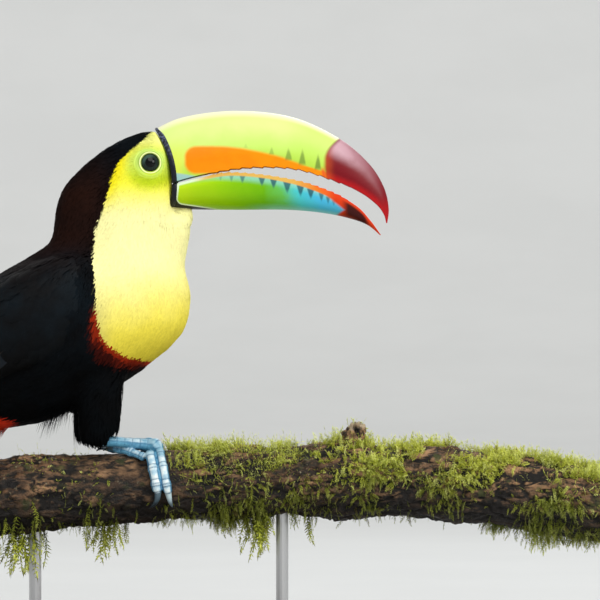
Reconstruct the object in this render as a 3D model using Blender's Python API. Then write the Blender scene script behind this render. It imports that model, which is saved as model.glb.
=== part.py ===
"""Keel-billed toucan, life size, perched lengthwise on a short cut branch that a plain display stand holds.

Blender 4.5, metres, +Z up. The bird faces +X and the origin is the centre of the stand's underside.
The tables below are in millimetres, and every point is scaled by MM as its mesh is made.

Head, neck and trunk are one form, a loft through slanting sections that fan out from the nape. Each section
is a line in the side view from the bird's back to its front, with a half-width. The form is parted by thin
seams, and the wings are patches that lie on it.
"""

import math

import bmesh
import bpy
from mathutils import Vector

MM = 0.001
SEAM = 0.3  # clearance between neighbouring solids

# Sections of the body: back x, back z, front x, front z, half-width.
BODY = (
    (31.8, 268.2, 39.7, 257.4, 4.0),  # tip of the chin, under the bill
    (26.1, 292.0, 41.5, 255.7, 12.5),
    (20.3, 303.4, 41.4, 251.2, 16.6),  # forehead
    (-3.4, 296.7, 39.7, 240.0, 20.6),  # crown
    (-28.9, 275.6, 37.6, 228.0, 24.5),  # back of the head
    (-36.4, 259.5, 37.9, 222.5, 26.5),  # nape
    (-38.6, 243.2, 39.7, 216.0, 29.5),
    (-46.0, 235.4, 40.8, 206.0, 33.0),  # mantle and upper breast
    (-82.2, 214.3, 34.6, 185.4, 37.5),  # shoulders and lower end of the bib
    (-113.4, 196.2, 2.8, 159.9, 36.0),  # belly
    (-133.2, 180.3, -48.2, 136.1, 28.0),
    (-144.5, 168.8, -103.0, 134.6, 17.0),  # vent
    (-148.6, 162.7, -127.6, 143.5, 11.0),
)
HEAD_END, NECK_END = 4.0, 7.0  # sections where the seams cut the body
BODY_END = len(BODY) - 1
BODY_SIDES = 24
RINGS_PER_SECTION = 2.5

# The bed that the folded wings lie on: the body, then a taper over the coverts and the root of the tail.
WING_BED = (*BODY[:10], (-138.0, 178.0, -48.2, 133.5, 30.0), (-160.0, 162.0, -92.0, 129.5, 24.5),
            (-180.0, 148.0, -128.0, 126.5, 20.5), (-196.0, 137.0, -156.0, 125.0, 18.0))
# Rows of a wing: section of the bed, share of the way from back to front where it starts and
# ends, thickness.
WING = (
    (6.65, 0.20, 0.27, 1.2),
    (7.0, 0.12, 0.38, 3.6),
    (7.4, 0.08, 0.44, 5.0),
    (8.0, 0.06, 0.52, 5.8),
    (8.6, 0.05, 0.60, 5.6),
    (9.3, 0.05, 0.59, 5.0),
    (10.0, 0.05, 0.55, 4.2),
    (11.0, 0.07, 0.52, 3.2),
    (12.0, 0.12, 0.46, 2.2),
    (12.75, 0.24, 0.36, 1.2),
)
WING_RIM = 0.7  # thickness along a wing's edge
WING_LIFT = 0.9  # clearance under the wings, whose facets cut the corners of the round bed
WING_ROWS, WING_COLUMNS = 18, 6

# Upper half of the bill: ridge x, ridge z, cutting edge x, cutting edge z, half-width.
BILL_UPPER = (
    (14.0, 300.3, 22.0, 270.4, 15.8),
    (34.0, 310.1, 42.9, 277.2, 15.8),
    (64.6, 314.2, 70.0, 281.6, 14.2),
    (97.1, 310.8, 98.0, 281.3, 11.6),
    (124.3, 298.6, 121.5, 274.5, 8.9),
    (140.8, 284.8, 136.5, 267.4, 6.3),
    (149.4, 271.6, 145.5, 260.6, 4.0),
    (152.4, 259.5, 149.4, 255.2, 2.0),
    (151.6, 250.6, 150.9, 250.6, 0.4),
)
# Lower half of the bill: cutting edge x, cutting edge z, keel x, keel z, half-width.
BILL_LOWER = (
    (22.0, 269.9, 24.0, 258.9, 14.8),
    (42.9, 276.2, 42.9, 258.3, 14.8),
    (64.6, 278.7, 66.0, 258.1, 13.2),
    (97.1, 275.0, 95.0, 258.1, 10.4),
    (118.8, 266.9, 116.0, 256.2, 7.6),
    (133.5, 259.3, 131.0, 253.0, 5.0),
    (142.0, 252.4, 140.5, 249.4, 2.8),
    (148.0, 243.9, 147.5, 243.7, 0.4),
)
BILL_WALL = 1.3
BILL_SIDE_POINTS = 5
ROOF_DEPTH, FLOOR_DEPTH = 5.0, 4.0  # how far the mouth is hollowed into each half
TOOTH_DEPTH = 0.7
TEETH = 9
TOOTHED = (1.5, 5.6)  # sections of the bill that the notches span
RIM_X, RIM_Z, RIM_RADIUS = -25.0, 272.0, 55.1  # the arc in the side view where bill meets face
DRUM_SIDES = 60
CHIN_TOP = 257.75  # the chin's feathers stop here, under the bill

EYE_X, EYE_Z, EYE_OUT, EYE_RADIUS = 17.2, 284.0, 12.6, 6.4

TAIL_ROOT = Vector((-133.0, 0.0, 155.0))
TAIL_DROP = math.radians(22)
TAIL_LENGTH = 152.0
TAIL_HALF_WIDTHS = (9.0, 23.5)  # at the root and near the end
TAIL_THICKNESS = (4.6, 1.5)
TAIL_ROOF = 0.16  # fall of the tail's surface from its middle line to its edges
COVERT_ROWS, COVERT_SIDES = 6, 6

# The branch: a gentle arch of varying thickness.
BRANCH_ENDS = (-92.0, 281.0)
BRANCH_CREST_X, BRANCH_CREST_Z = 128.0, 104.6
BRANCH_FALL = (0.00024, 0.00072)  # to the left and right of the crest
BRANCH_RADIUS = 20.6
BRANCH_SEGMENTS, BRANCH_RESOLUTION = 31, 5
STUB_X, STUB_LEAN, STUB_RADIUS, STUB_LENGTH = 129.0, 12.0, 6.5, 27.0

# Legs. The joint of the toes stands this far round the branch from its top, in degrees.
ANKLE = Vector((-8.0, 13.5, 127.6))
PAD_X, PAD_ROUND, PAD_RADIUS = 19.5, 24.0, 4.0
SHANK_RADII = (2.9, 2.3, 2.7)
LEFT_FOOT_BACK = 4.0  # the left foot stands this far behind the right one
THIGH = (  # height, x, y from the middle, half-length, half-width
    (176.0, -8.0, 15.5, 14.5, 10.0),
    (158.0, -10.5, 15.0, 13.8, 10.6),
    (142.0, -11.2, 14.2, 12.7, 9.6),
    (132.0, -11.4, 13.7, 12.2, 8.4),
    (127.0, -12.4, 13.5, 9.6, 6.6),
    (123.9, -14.0, 13.2, 4.6, 3.6),
)
THIGH_SIDES = 14
# Toes: start and end along the branch from the pad, start and end round it in degrees, radius, claw length,
# and how far the claw's point swings along the branch.
TOES = {
    "toe_1_hind_inner": (-3.0, -11.0, 14.0, 8.5, 1.9, 5.5, 0.0),
    "toe_2_front_inner": (3.5, 8.8, 36.0, 108.0, 2.5, 9.0, 0.6),
    "toe_3_front_outer": (-2.4, 2.0, 42.0, 104.0, 2.6, 10.5, -5.6),
    "toe_4_hind_outer": (-6.2, -23.0, 42.0, 14.0, 2.2, 7.5, 0.0),
}
TOE_POINTS, CLAW_POINTS = 8, 4
TOE_KNUCKLES = 3
# Height of the claw's point over the bark, its arch, and its gap from the toe.
CLAW_TIP, CLAW_ARCH, CLAW_GAP = 0.6, 0.9, 0.6

STAND_LENGTH, STAND_DEPTH, STAND_HEIGHT = 250.0, 150.0, 18.0
STAND_CORNER, STAND_EDGE = 24.0, 2.5
ROD_RADIUS, ROD_SOCKET = 3.5, 9.0
ROD_PLACES = {"rear": -48.0, "front": 92.0}
COLLAR_RADIUS, COLLAR_HEIGHT = 10.0, 5.0

LOOKS = {  # colour, roughness, metallic
    "black_feathers": ((0.012, 0.013, 0.016), 0.6, 0.0),
    "yellow_feathers": ((0.9, 0.82, 0.22), 0.7, 0.0),
    "white_feathers": ((0.85, 0.84, 0.78), 0.7, 0.0),
    "red_feathers": ((0.7, 0.05, 0.02), 0.7, 0.0),
    "green_horn": ((0.55, 0.8, 0.12), 0.3, 0.0),
    "eye": ((0.02, 0.03, 0.02), 0.08, 0.0),
    "blue_skin": ((0.3, 0.55, 0.7), 0.5, 0.0),
    "claw_horn": ((0.1, 0.13, 0.16), 0.35, 0.0),
    "bark": ((0.13, 0.09, 0.06), 0.9, 0.0),
    "dark_wood": ((0.06, 0.035, 0.02), 0.4, 0.0),
    "steel": ((0.6, 0.6, 0.6), 0.3, 1.0),
}


def clear_scene():
    for obj in list(bpy.data.objects):
        bpy.data.objects.remove(obj, do_unlink=True)


def new_collection(name):
    made = bpy.data.collections.new(name)
    bpy.context.scene.collection.children.link(made)
    return made


def make_looks():
    made = {}
    for name, (colour, roughness, metallic) in LOOKS.items():
        made[name] = bpy.data.materials.new(name)
        made[name].use_nodes = True
        shader = made[name].node_tree.nodes["Principled BSDF"]
        shader.inputs["Base Color"].default_value = (*colour, 1.0)
        shader.inputs["Roughness"].default_value = roughness
        shader.inputs["Metallic"].default_value = metallic
    return made


def place(name, mesh, look=None):
    """Object for a mesh: a part with its look, or a cutter where no look is given."""
    obj = bpy.data.objects.new(name, mesh)
    if look is None:
        obj.hide_render = True
        obj.display_type = "WIRE"
        CUTTERS.objects.link(obj)
    else:
        mesh.materials.append(MATERIALS[look])
        mesh.shade_smooth()
        mesh.set_sharp_from_angle(angle=math.radians(40))
        PARTS.objects.link(obj)
    return obj


def finish_mesh(name, work, look):
    bmesh.ops.recalc_face_normals(work, faces=work.faces)
    mesh = bpy.data.meshes.new(name)
    work.to_mesh(mesh)
    work.free()
    return place(name, mesh, look)


def loft(name, rings, look=None):
    """Closed solid through rings of as many points each, in millimetres, with a face at each end."""
    work = bmesh.new()
    rows = [[work.verts.new(Vector(point) * MM) for point in ring] for ring in rings]
    count = len(rows[0])
    for lower, upper in zip(rows, rows[1:]):
        for i in range(count):
            j = (i + 1) % count
            work.faces.new((lower[i], lower[j], upper[j], upper[i]))
    work.faces.new(rows[0])
    work.faces.new(rows[-1])
    return finish_mesh(name, work, look)


def tube(name, points, radii, look=None, resolution=2):
    """Round bar along points, with a radius at each, as a mesh with welded caps."""
    curve = bpy.data.curves.new(name + "_line", "CURVE")
    curve.dimensions = "3D"
    curve.bevel_depth = MM
    curve.bevel_resolution = resolution
    curve.use_fill_caps = True
    spline = curve.splines.new("POLY")
    spline.points.add(len(points) - 1)
    for target, point, radius in zip(spline.points, points, radii):
        target.co = (*(Vector(point) * MM), 1.0)
        target.radius = radius
    line = bpy.data.objects.new(name + "_line", curve)
    bpy.context.scene.collection.objects.link(line)
    bpy.context.view_layer.update()
    graph = bpy.context.evaluated_depsgraph_get()
    mesh = bpy.data.meshes.new_from_object(line.evaluated_get(graph))
    bpy.data.objects.remove(line, do_unlink=True)
    bpy.data.curves.remove(curve)
    work = bmesh.new()
    work.from_mesh(mesh)
    bpy.data.meshes.remove(mesh)
    bmesh.ops.remove_doubles(work, verts=work.verts, dist=0.00001)
    return finish_mesh(name, work, look)


def combine(obj, other, operation):
    """Boolean modifier on obj, with other as its helper."""
    step = obj.modifiers.new(operation.lower(), "BOOLEAN")
    step.operation = operation
    step.solver = "EXACT"
    step.object = other


def along(rows, position):
    """The table's numbers at a position between its rows, on a Catmull-Rom curve."""
    start = min(max(int(position), 0), len(rows) - 2)
    f = position - start
    near = [rows[min(max(i, 0), len(rows) - 1)] for i in range(start - 1, start + 3)]
    return [
        0.5 * (2 * b + (c - a) * f + (2 * a - 5 * b + 4 * c - d) * f**2 + (3 * b - a - 3 * c + d) * f**3)
        for a, b, c, d in zip(*near)
    ]


def steps(first, last, count):
    return [first + (last - first) * i / count for i in range(count + 1)]


def form_point(rows, position, angle):
    """Point of a form at a section and an angle round it: 0 is the back, pi the front, positive left."""
    back_x, back_z, front_x, front_z, half_width = along(rows, position)
    share = (1 - math.cos(angle)) / 2
    side = math.copysign(abs(math.sin(angle)) ** 0.92, math.sin(angle))
    return Vector((back_x + (front_x - back_x) * share, half_width * side,
                   back_z + (front_z - back_z) * share))


def form_normal(rows, position, angle):
    small = 0.01
    low, high = max(position - small, 0), min(position + small, len(rows) - 1)
    lengthwise = form_point(rows, high, angle) - form_point(rows, low, angle)
    round_it = form_point(rows, position, angle + small) - form_point(rows, position, angle - small)
    return round_it.cross(lengthwise).normalized()


def body_ring(position, lift=0.0, shift=0.0):
    """Ring of the body. lift moves it out along the surface, shift moves it whole, towards the tail."""
    back_x, back_z, front_x, front_z, _ = along(BODY, position)
    towards_tail = Vector((back_z - front_z, 0, front_x - back_x)).normalized() * -1
    angles = [2 * math.pi * (i + 0.5) / BODY_SIDES for i in range(BODY_SIDES)]
    return [form_point(BODY, position, a) + form_normal(BODY, position, a) * lift + towards_tail * shift
            for a in angles]


def body_part(name, look, first, last, lift=0.0, first_shift=0.0, last_shift=0.0):
    count = round((last - first) * RINGS_PER_SECTION)
    rings = [body_ring(position, lift) for position in steps(first, last, count)]
    rings[0] = body_ring(first, lift, first_shift)
    rings[-1] = body_ring(last, lift, last_shift)
    return loft(name, rings, look)


def block(name, low, high):
    """Box cutter between two corners."""
    work = bmesh.new()
    bmesh.ops.create_cube(work, size=1.0)
    for corner in work.verts:
        corner.co = Vector([(l if c < 0 else h) * MM for c, l, h in zip(corner.co, low, high)])
    return finish_mesh(name, work, None)


def drum(name, x, z, radius, half_width):
    """Cylinder cutter that lies across the bird."""
    turns = steps(0, math.tau, DRUM_SIDES)[:-1]
    ends = [[(x + radius * math.cos(a), y, z + radius * math.sin(a)) for a in turns]
            for y in (-half_width, half_width)]
    return loft(name, ends)


def ball(name, centre, radius, look=None, segments=12):
    work = bmesh.new()
    bmesh.ops.create_uvsphere(work, u_segments=segments, v_segments=segments * 2 // 3, radius=radius * MM)
    bmesh.ops.translate(work, verts=work.verts, vec=Vector(centre) * MM)
    return finish_mesh(name, work, look)


def make_body():
    head = body_part("head", "yellow_feathers", 0, HEAD_END, last_shift=-SEAM / 2)
    body_part("neck", "yellow_feathers", HEAD_END, NECK_END, first_shift=SEAM / 2, last_shift=-SEAM / 2)
    body_part("trunk", "black_feathers", NECK_END, BODY_END, first_shift=SEAM / 2)
    # The face stops at the bill's rim, and the chin runs on beneath the bill.
    before_face = block("before_face", (-10, -40, CHIN_TOP), (90, 40, 340))
    combine(before_face, drum("face_drum", RIM_X, RIM_Z, RIM_RADIUS - SEAM / 2, 60), "DIFFERENCE")
    combine(head, before_face, "DIFFERENCE")
    for side, sign in (("right", -1), ("left", 1)):
        centre = (EYE_X, sign * EYE_OUT, EYE_Z)
        combine(head, ball("socket_" + side, centre, EYE_RADIUS + SEAM), "DIFFERENCE")
        ball("eye_" + side, centre, EYE_RADIUS, "eye")


def notch(position):
    """Depth of the saw-like notches in the bill's cutting edge."""
    first, last = TOOTHED
    share = (position - first) / (last - first) * TEETH
    return TOOTH_DEPTH * (share % 1.0) if first <= position < last else 0.0


def bill_positions(last):
    """Sections for the bill's rings: plain ones, and two at each notch."""
    first, end = TOOTHED
    pitch = (end - first) / TEETH
    plain = [p for p in steps(0, last, last * 3) if not first <= p <= end]
    notched = [first + pitch * (i + part) for i in range(TEETH) for part in (0.02, 0.98)]
    return sorted(plain + notched)


def bill_ring(rows, position, edge_first, hollow):
    """Ring of one half of the bill, from its outer ridge down each side to the edge and the hollow."""
    numbers = along(rows, position)
    edge, ridge = numbers[:2], numbers[2:4]
    if not edge_first:
        edge, ridge = ridge, edge
    half_width = numbers[4]
    edge = Vector((edge[0], 0, edge[1]))
    outwards = Vector((ridge[0], 0, ridge[1])) - edge
    height = outwards.length
    side = []
    for share in steps(1, 0, BILL_SIDE_POINTS):
        width = half_width * (1 - share**2.3) ** 0.6 * (0.94 + 0.06 * min(1, share / 0.25))
        side.append((width, share))
    wall = min(BILL_WALL, half_width * 0.4)
    lip = side[-1][0] - wall
    depth = min(hollow, height * 0.3) / height
    inner = [(lip, 0.02), (0.0, depth)]
    right = side + inner
    left = [(-width, share) for width, share in reversed(right[1:-1])]
    notched = (notch(position) - TOOTH_DEPTH / 2) / height * min(1, height / 10)
    return [edge + outwards * (share + (notched if share < 0.05 else 0)) + Vector((0, -width, 0))
            for width, share in right + left]


def make_bill():
    for name, rows, edge_first, hollow in (
        ("bill_upper", BILL_UPPER, False, ROOF_DEPTH),
        ("bill_lower", BILL_LOWER, True, FLOOR_DEPTH),
    ):
        rings = [bill_ring(rows, p, edge_first, hollow) for p in bill_positions(len(rows) - 1)]
        half = loft(name, rings, "green_horn")
        combine(half, drum(name + "_drum", RIM_X, RIM_Z, RIM_RADIUS + SEAM / 2, 60), "DIFFERENCE")


def make_wing(name, sign):
    """Folded wing: a patch that lies on its bed, thick in the arm and thin at its edges and tip."""
    rings = []
    for row in steps(0, len(WING) - 1, WING_ROWS):
        position, first, last, thickness = along(WING, row)
        inner, outer = [], []
        for column in steps(0, 1, WING_COLUMNS):
            angle = sign * math.acos(1 - 2 * (first + (last - first) * column))
            point = form_point(WING_BED, position, angle)
            normal = form_normal(WING_BED, position, angle)
            depth = WING_RIM + (thickness - WING_RIM) * math.sin(math.pi * column) ** 0.6
            inner.append(point + normal * WING_LIFT)
            outer.append(point + normal * (WING_LIFT + depth))
        rings.append(inner + outer[::-1])
    return loft(name, rings, "black_feathers")


def tail_point(distance, across, up):
    """Point of the tail: distance from its root, across it, and up from its roofed surface."""
    along_tail = Vector((-math.cos(TAIL_DROP), 0, -math.sin(TAIL_DROP)))
    upwards = Vector((-math.sin(TAIL_DROP), 0, math.cos(TAIL_DROP)))
    rise = up - TAIL_ROOF * abs(across)
    return TAIL_ROOT + along_tail * distance + Vector((0, across, 0)) + upwards * rise


def tail_size(distance):
    """Half-width and half-thickness of the tail. Its end is rounded."""
    share = distance / TAIL_LENGTH
    narrow, wide = TAIL_HALF_WIDTHS
    half_width = narrow + (wide - narrow) * min(1, share * 1.15) ** 0.85
    rounding = max(0.0, (share - 0.86) / 0.14)
    half_width *= max(0.3, math.sqrt(1 - rounding**2.2))
    thickness = TAIL_THICKNESS[0] + (TAIL_THICKNESS[1] - TAIL_THICKNESS[0]) * share**0.6
    return half_width, thickness / 2


def make_tail():
    distances = [*steps(16.8, TAIL_LENGTH * 0.86, 8), *(TAIL_LENGTH * s for s in (0.91, 0.95, 0.98, 1.0))]
    rings = []
    for distance in distances:
        half_width, half_thickness = tail_size(distance)
        spread = [half_width * s for s in steps(-1, 1, 6)]
        upper = [tail_point(distance, y, half_thickness) for y in spread]
        lower = [tail_point(distance, y, -half_thickness) for y in reversed(spread)]
        rings.append(upper + lower)
    loft("tail", rings, "black_feathers")
    # The coverts are half cones above and below the root of the tail.
    for name, look, sign, length, heights in (
        ("tail_coverts_upper", "white_feathers", 1, 50.0, (12.0, 1.2)),
        ("tail_coverts_under", "red_feathers", -1, 64.0, (10.5, 1.2)),
    ):
        rings = []
        for share in steps(0, 1, COVERT_ROWS):
            distance = 17.5 + (length - 17.5) * share
            half_width, half_thickness = tail_size(distance)
            reach = half_width * (1.1 - 0.62 * share**1.6)
            height = heights[0] + (heights[1] - heights[0]) * share
            flat = half_thickness + SEAM
            spread = [reach * s for s in steps(-1, 1, COVERT_SIDES)]
            inner = [tail_point(distance, y, sign * flat) for y in spread]
            outer = [tail_point(distance, y, sign * (flat + 0.8 + height * math.sqrt(1 - (y / reach) ** 2)))
                     for y in reversed(spread)]
            rings.append(inner + outer)
        coverts = loft(name, rings, look)
        combine(coverts, TRUNK_ROOM, "DIFFERENCE")


def branch_centre(x):
    fall = BRANCH_FALL[0] if x < BRANCH_CREST_X else BRANCH_FALL[1]
    wander = 2.2 * math.sin((x + 5.0) / 62.0) * min(1.0, abs(x - 8.0) / 60.0)
    return Vector((x, wander, BRANCH_CREST_Z - fall * (x - BRANCH_CREST_X) ** 2))


def branch_radius(x):
    """Thicker at the left end and at the knot under the broken twig, and uneven away from the feet."""
    left_end = 3.0 * min(1.0, max(0.0, (-25.0 - x) / 50.0))
    knot = 2.4 * math.exp(-(((x - STUB_X) / 13.0) ** 2))
    uneven = 0.8 * math.sin(x / 9.0) * min(1.0, max(0.0, (abs(x - 5.0) - 35.0) / 30.0))
    return BRANCH_RADIUS + left_end + knot + uneven


def on_branch(x, degrees, out):
    """Point this far out from the bark, round the branch from its top. Positive degrees go right."""
    turn = math.radians(degrees)
    reach = branch_radius(x) + out
    return branch_centre(x) + Vector((0, -math.sin(turn), math.cos(turn))) * reach


def make_branch():
    places = steps(*BRANCH_ENDS, BRANCH_SEGMENTS)
    branch = tube("perch_branch", [branch_centre(x) for x in places], [branch_radius(x) for x in places],
                  "bark", BRANCH_RESOLUTION)
    root = branch_centre(STUB_X) + Vector((0, 0, 8))
    lean = Vector((math.sin(math.radians(STUB_LEAN)), -0.25, 1.0)).normalized()
    shares = (0, 0.75, 1)
    stub = tube("stub_core", [root + lean * STUB_LENGTH * s for s in shares],
                [STUB_RADIUS * r for r in (1.2, 0.95, 0.6)], None, 3)
    combine(branch, stub, "UNION")
    for name, x in ROD_PLACES.items():
        foot = branch_centre(x)
        hole = [Vector((x, 0, foot.z - 40)), Vector((x, 0, foot.z - branch_radius(x) + ROD_SOCKET))]
        combine(branch, tube("hole_" + name, hole, [ROD_RADIUS + SEAM] * 2, None, 6), "DIFFERENCE")


def leg_side(point, sign, back):
    """The right leg's point, or its twin on the left leg, which stands a little further back."""
    return Vector((point[0] - back, sign * point[1], point[2]))


def make_shank(name, sign, back, lift=0.0, look=None):
    """Bare lower leg from the ankle to the pad where the toes meet."""
    pad = on_branch(PAD_X, PAD_ROUND, PAD_RADIUS - 0.8)
    right_pad = Vector((pad.x, -pad.y, pad.z))
    middle = (ANKLE + right_pad) / 2 + Vector((0, 0, 0.6))
    line = [leg_side(along_line, sign, back) for along_line in (
        ANKLE - Vector((6.0, 0, -2.2)), ANKLE, middle, right_pad - Vector((3.0, 0, -1.2)), right_pad)]
    radii = (SHANK_RADII[0], SHANK_RADII[0], SHANK_RADII[1], SHANK_RADII[2], SHANK_RADII[2] * 0.8)
    return tube(name, line, [r + lift for r in radii], look), line[-1]


def make_leg(side, sign, back):
    shank, pad = make_shank(side + "_shank", sign, back, look="blue_skin")
    combine(shank, ball(side + "_pad_core", pad, PAD_RADIUS - 1.0, None, 12), "UNION")
    rings = []
    for height, x, y, half_length, half_width in THIGH:
        rings.append([(x - back + half_length * math.cos(a), sign * y + half_width * math.sin(a), height)
                      for a in steps(0, math.tau, THIGH_SIDES)[:-1]])
    thigh = loft(side + "_thigh", rings, "black_feathers")
    combine(thigh, TRUNK_ROOM, "DIFFERENCE")
    shank_room, _ = make_shank(side + "_shank_room", sign, back, lift=SEAM)
    combine(thigh, shank_room, "DIFFERENCE")
    pad_room = ball(side + "_pad_room", pad, PAD_RADIUS - 1.0 + SEAM, None, 12)
    for toe, measures in TOES.items():
        make_toe(side + "_" + toe, sign, back, measures, (pad_room, shank_room))


def make_toe(name, sign, back, measures, rooms):
    """Toe that follows the bark, and its claw."""
    start_x, end_x, start_turn, end_turn, radius, claw_length, swing = measures

    def at(share, out, shift=0.0):
        x = PAD_X - back + start_x + (end_x - start_x) * share + shift
        point = on_branch(x, start_turn + (end_turn - start_turn) * share, out)
        centre_y = branch_centre(x).y
        return Vector((x, centre_y + sign * (centre_y - point.y), point.z))

    turns = [math.tau * TOE_KNUCKLES * s for s in steps(0, 1, TOE_POINTS)]
    knuckles = [radius * (1 + 0.09 * math.cos(turn)) for turn in turns]
    knuckles[-1] *= 0.82
    height = max(knuckles) + SEAM
    line = [at(s, height) for s in steps(0, 1, TOE_POINTS)]
    toe = tube(name, line, knuckles, "blue_skin")
    for room in rooms:
        combine(toe, room, "DIFFERENCE")
    length = sum((b - a).length for a, b in zip(line, line[1:]))
    first, last = 1 + CLAW_GAP / length, 1 + claw_length / length
    shares = steps(0, 1, CLAW_POINTS)
    radii = [radius * 0.7 * (1 - s) ** 0.75 + 0.25 for s in shares]
    fall = CLAW_TIP + SEAM - height
    rises = [height + fall * s**2 + CLAW_ARCH * math.sin(math.pi * s) * s for s in shares]
    claw = [at(first + (last - first) * s, rise, swing * s**2) for s, rise in zip(shares, rises)]
    tube(name.replace("toe", "claw"), claw, radii, "claw_horn")


def make_stand():
    work = bmesh.new()
    bmesh.ops.create_cube(work, size=1.0)
    bmesh.ops.scale(work, verts=work.verts, vec=Vector((STAND_LENGTH, STAND_DEPTH, STAND_HEIGHT)) * MM)
    bmesh.ops.translate(work, verts=work.verts, vec=(0, 0, STAND_HEIGHT / 2 * MM))
    upright = [e for e in work.edges if abs(e.verts[0].co.z - e.verts[1].co.z) > STAND_HEIGHT / 2 * MM]
    bmesh.ops.bevel(work, geom=upright, offset=STAND_CORNER * MM, segments=5, profile=0.5, affect="EDGES")
    top = [e for e in work.edges if all(v.co.z > STAND_HEIGHT * 0.9 * MM for v in e.verts)]
    bmesh.ops.bevel(work, geom=top, offset=STAND_EDGE * MM, segments=2, profile=0.5, affect="EDGES")
    base = finish_mesh("stand_base", work, "dark_wood")
    for name, x in ROD_PLACES.items():
        top = branch_centre(x).z - branch_radius(x) + ROD_SOCKET - SEAM
        bottom = STAND_HEIGHT - ROD_SOCKET
        tube("stand_rod_" + name, [(x, 0, bottom), (x, 0, top)], [ROD_RADIUS] * 2, "steel", 6)
        hole = [(x, 0, bottom - SEAM), (x, 0, STAND_HEIGHT + 10)]
        combine(base, tube("base_hole_" + name, hole, [ROD_RADIUS + SEAM] * 2, None, 6), "DIFFERENCE")
        low = STAND_HEIGHT + SEAM
        collar = tube("stand_collar_" + name,
                      [(x, 0, low), (x, 0, low + COLLAR_HEIGHT * 0.7), (x, 0, low + COLLAR_HEIGHT)],
                      [COLLAR_RADIUS, COLLAR_RADIUS, COLLAR_RADIUS - 1.5], "steel", 6)
        bore = [(x, 0, low - 5), (x, 0, low + COLLAR_HEIGHT + 5)]
        combine(collar, tube("collar_bore_" + name, bore, [ROD_RADIUS + SEAM] * 2, None, 6), "DIFFERENCE")


clear_scene()
PARTS = new_collection("toucan")
CUTTERS = new_collection("cutters")
MATERIALS = make_looks()
make_body()
# The trunk with its clearance, for whatever meets it.
TRUNK_ROOM = body_part("trunk_room", None, NECK_END - 0.4, BODY_END, lift=SEAM, last_shift=SEAM)
make_bill()
make_wing("wing_right", -1)
make_wing("wing_left", 1)
make_tail()
make_branch()
make_leg("right", -1, 0.0)
make_leg("left", 1, LEFT_FOOT_BACK)
make_stand()
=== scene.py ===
import math

import bmesh
import bpy
import numpy as np
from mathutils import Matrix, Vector, kdtree, noise
from mathutils.bvhtree import BVHTree


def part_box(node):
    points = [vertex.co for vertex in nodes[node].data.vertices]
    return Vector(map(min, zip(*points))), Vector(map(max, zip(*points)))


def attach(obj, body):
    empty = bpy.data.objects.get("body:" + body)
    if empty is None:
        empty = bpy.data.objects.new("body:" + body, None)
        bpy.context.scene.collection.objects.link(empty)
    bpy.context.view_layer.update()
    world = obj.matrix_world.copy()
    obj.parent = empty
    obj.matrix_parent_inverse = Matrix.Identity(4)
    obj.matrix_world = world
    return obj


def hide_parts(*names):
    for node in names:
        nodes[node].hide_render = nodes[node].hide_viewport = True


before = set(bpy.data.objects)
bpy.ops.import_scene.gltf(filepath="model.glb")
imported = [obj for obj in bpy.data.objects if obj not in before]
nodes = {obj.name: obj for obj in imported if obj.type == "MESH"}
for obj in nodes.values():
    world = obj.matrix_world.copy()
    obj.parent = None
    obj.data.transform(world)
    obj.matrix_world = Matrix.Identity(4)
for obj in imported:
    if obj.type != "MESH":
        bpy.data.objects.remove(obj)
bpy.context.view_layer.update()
mm = 0.001  # every length below is in millimetres, and meshes are scaled by this as they are made
rng = np.random.default_rng(11)


class Wire:
    # a socket of a material: operators add Math nodes, make() adds any other node

    def __init__(self, tree, socket=None):
        self.tree, self.socket = tree, socket

    def make(self, kind, output=0, settings=None, inputs=None):
        node = self.tree.nodes.new("ShaderNode" + kind)
        for key, value in (settings or {}).items():
            if key == "stops":
                ramp = node.color_ramp.elements
                while len(ramp) < len(value):
                    ramp.new(0.5)
                for stop, (at, colour) in zip(ramp, value):
                    stop.position, stop.color = at, (*colour, 1.0)
            else:
                setattr(node, key, value)
        for key, value in (inputs or {}).items():
            if isinstance(value, Wire):
                self.tree.links.new(value.socket, node.inputs[key])
            else:
                node.inputs[key].default_value = value
        return Wire(self.tree, node.outputs[output])

    def sum(self, operation, *values):
        return self.make("Math", 0, {"operation": operation}, dict(enumerate(values)))

    def __add__(self, other):
        return self.sum("ADD", self, other)

    __radd__ = __add__

    def __sub__(self, other):
        return self.sum("SUBTRACT", self, other)

    def __rsub__(self, other):
        return self.sum("SUBTRACT", other, self)

    def __mul__(self, other):
        return self.sum("MULTIPLY", self, other)

    __rmul__ = __mul__

    def __truediv__(self, other):
        return self.sum("DIVIDE", self, other)

    def __pow__(self, other):
        return self.sum("POWER", self, other)

    def most(self, other):
        return self.sum("MAXIMUM", self, other)

    def size(self):
        return self.sum("ABSOLUTE", self)

    def sine(self):
        return self.sum("SINE", self)

    def step(self, low, high):
        # 0 below low, 1 above high and smooth between; high may be the lower one
        return self.make("MapRange", 0, {"interpolation_type": "SMOOTHSTEP"},
                         {0: self, 1: low, 2: high, 3: 0.0, 4: 1.0})

    def mix(self, first, second):
        # colour that goes from first to second as this value goes from 0 to 1
        colours = {key: (*value, 1.0) if isinstance(value, tuple) else value
                   for key, value in ((6, first), (7, second))}
        return self.make("Mix", 2, {"data_type": "RGBA"}, {0: self, **colours})

    def parts(self):
        node = self.tree.nodes.new("ShaderNodeSeparateXYZ")
        self.tree.links.new(self.socket, node.inputs[0])
        return [Wire(self.tree, out) for out in node.outputs]


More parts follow.
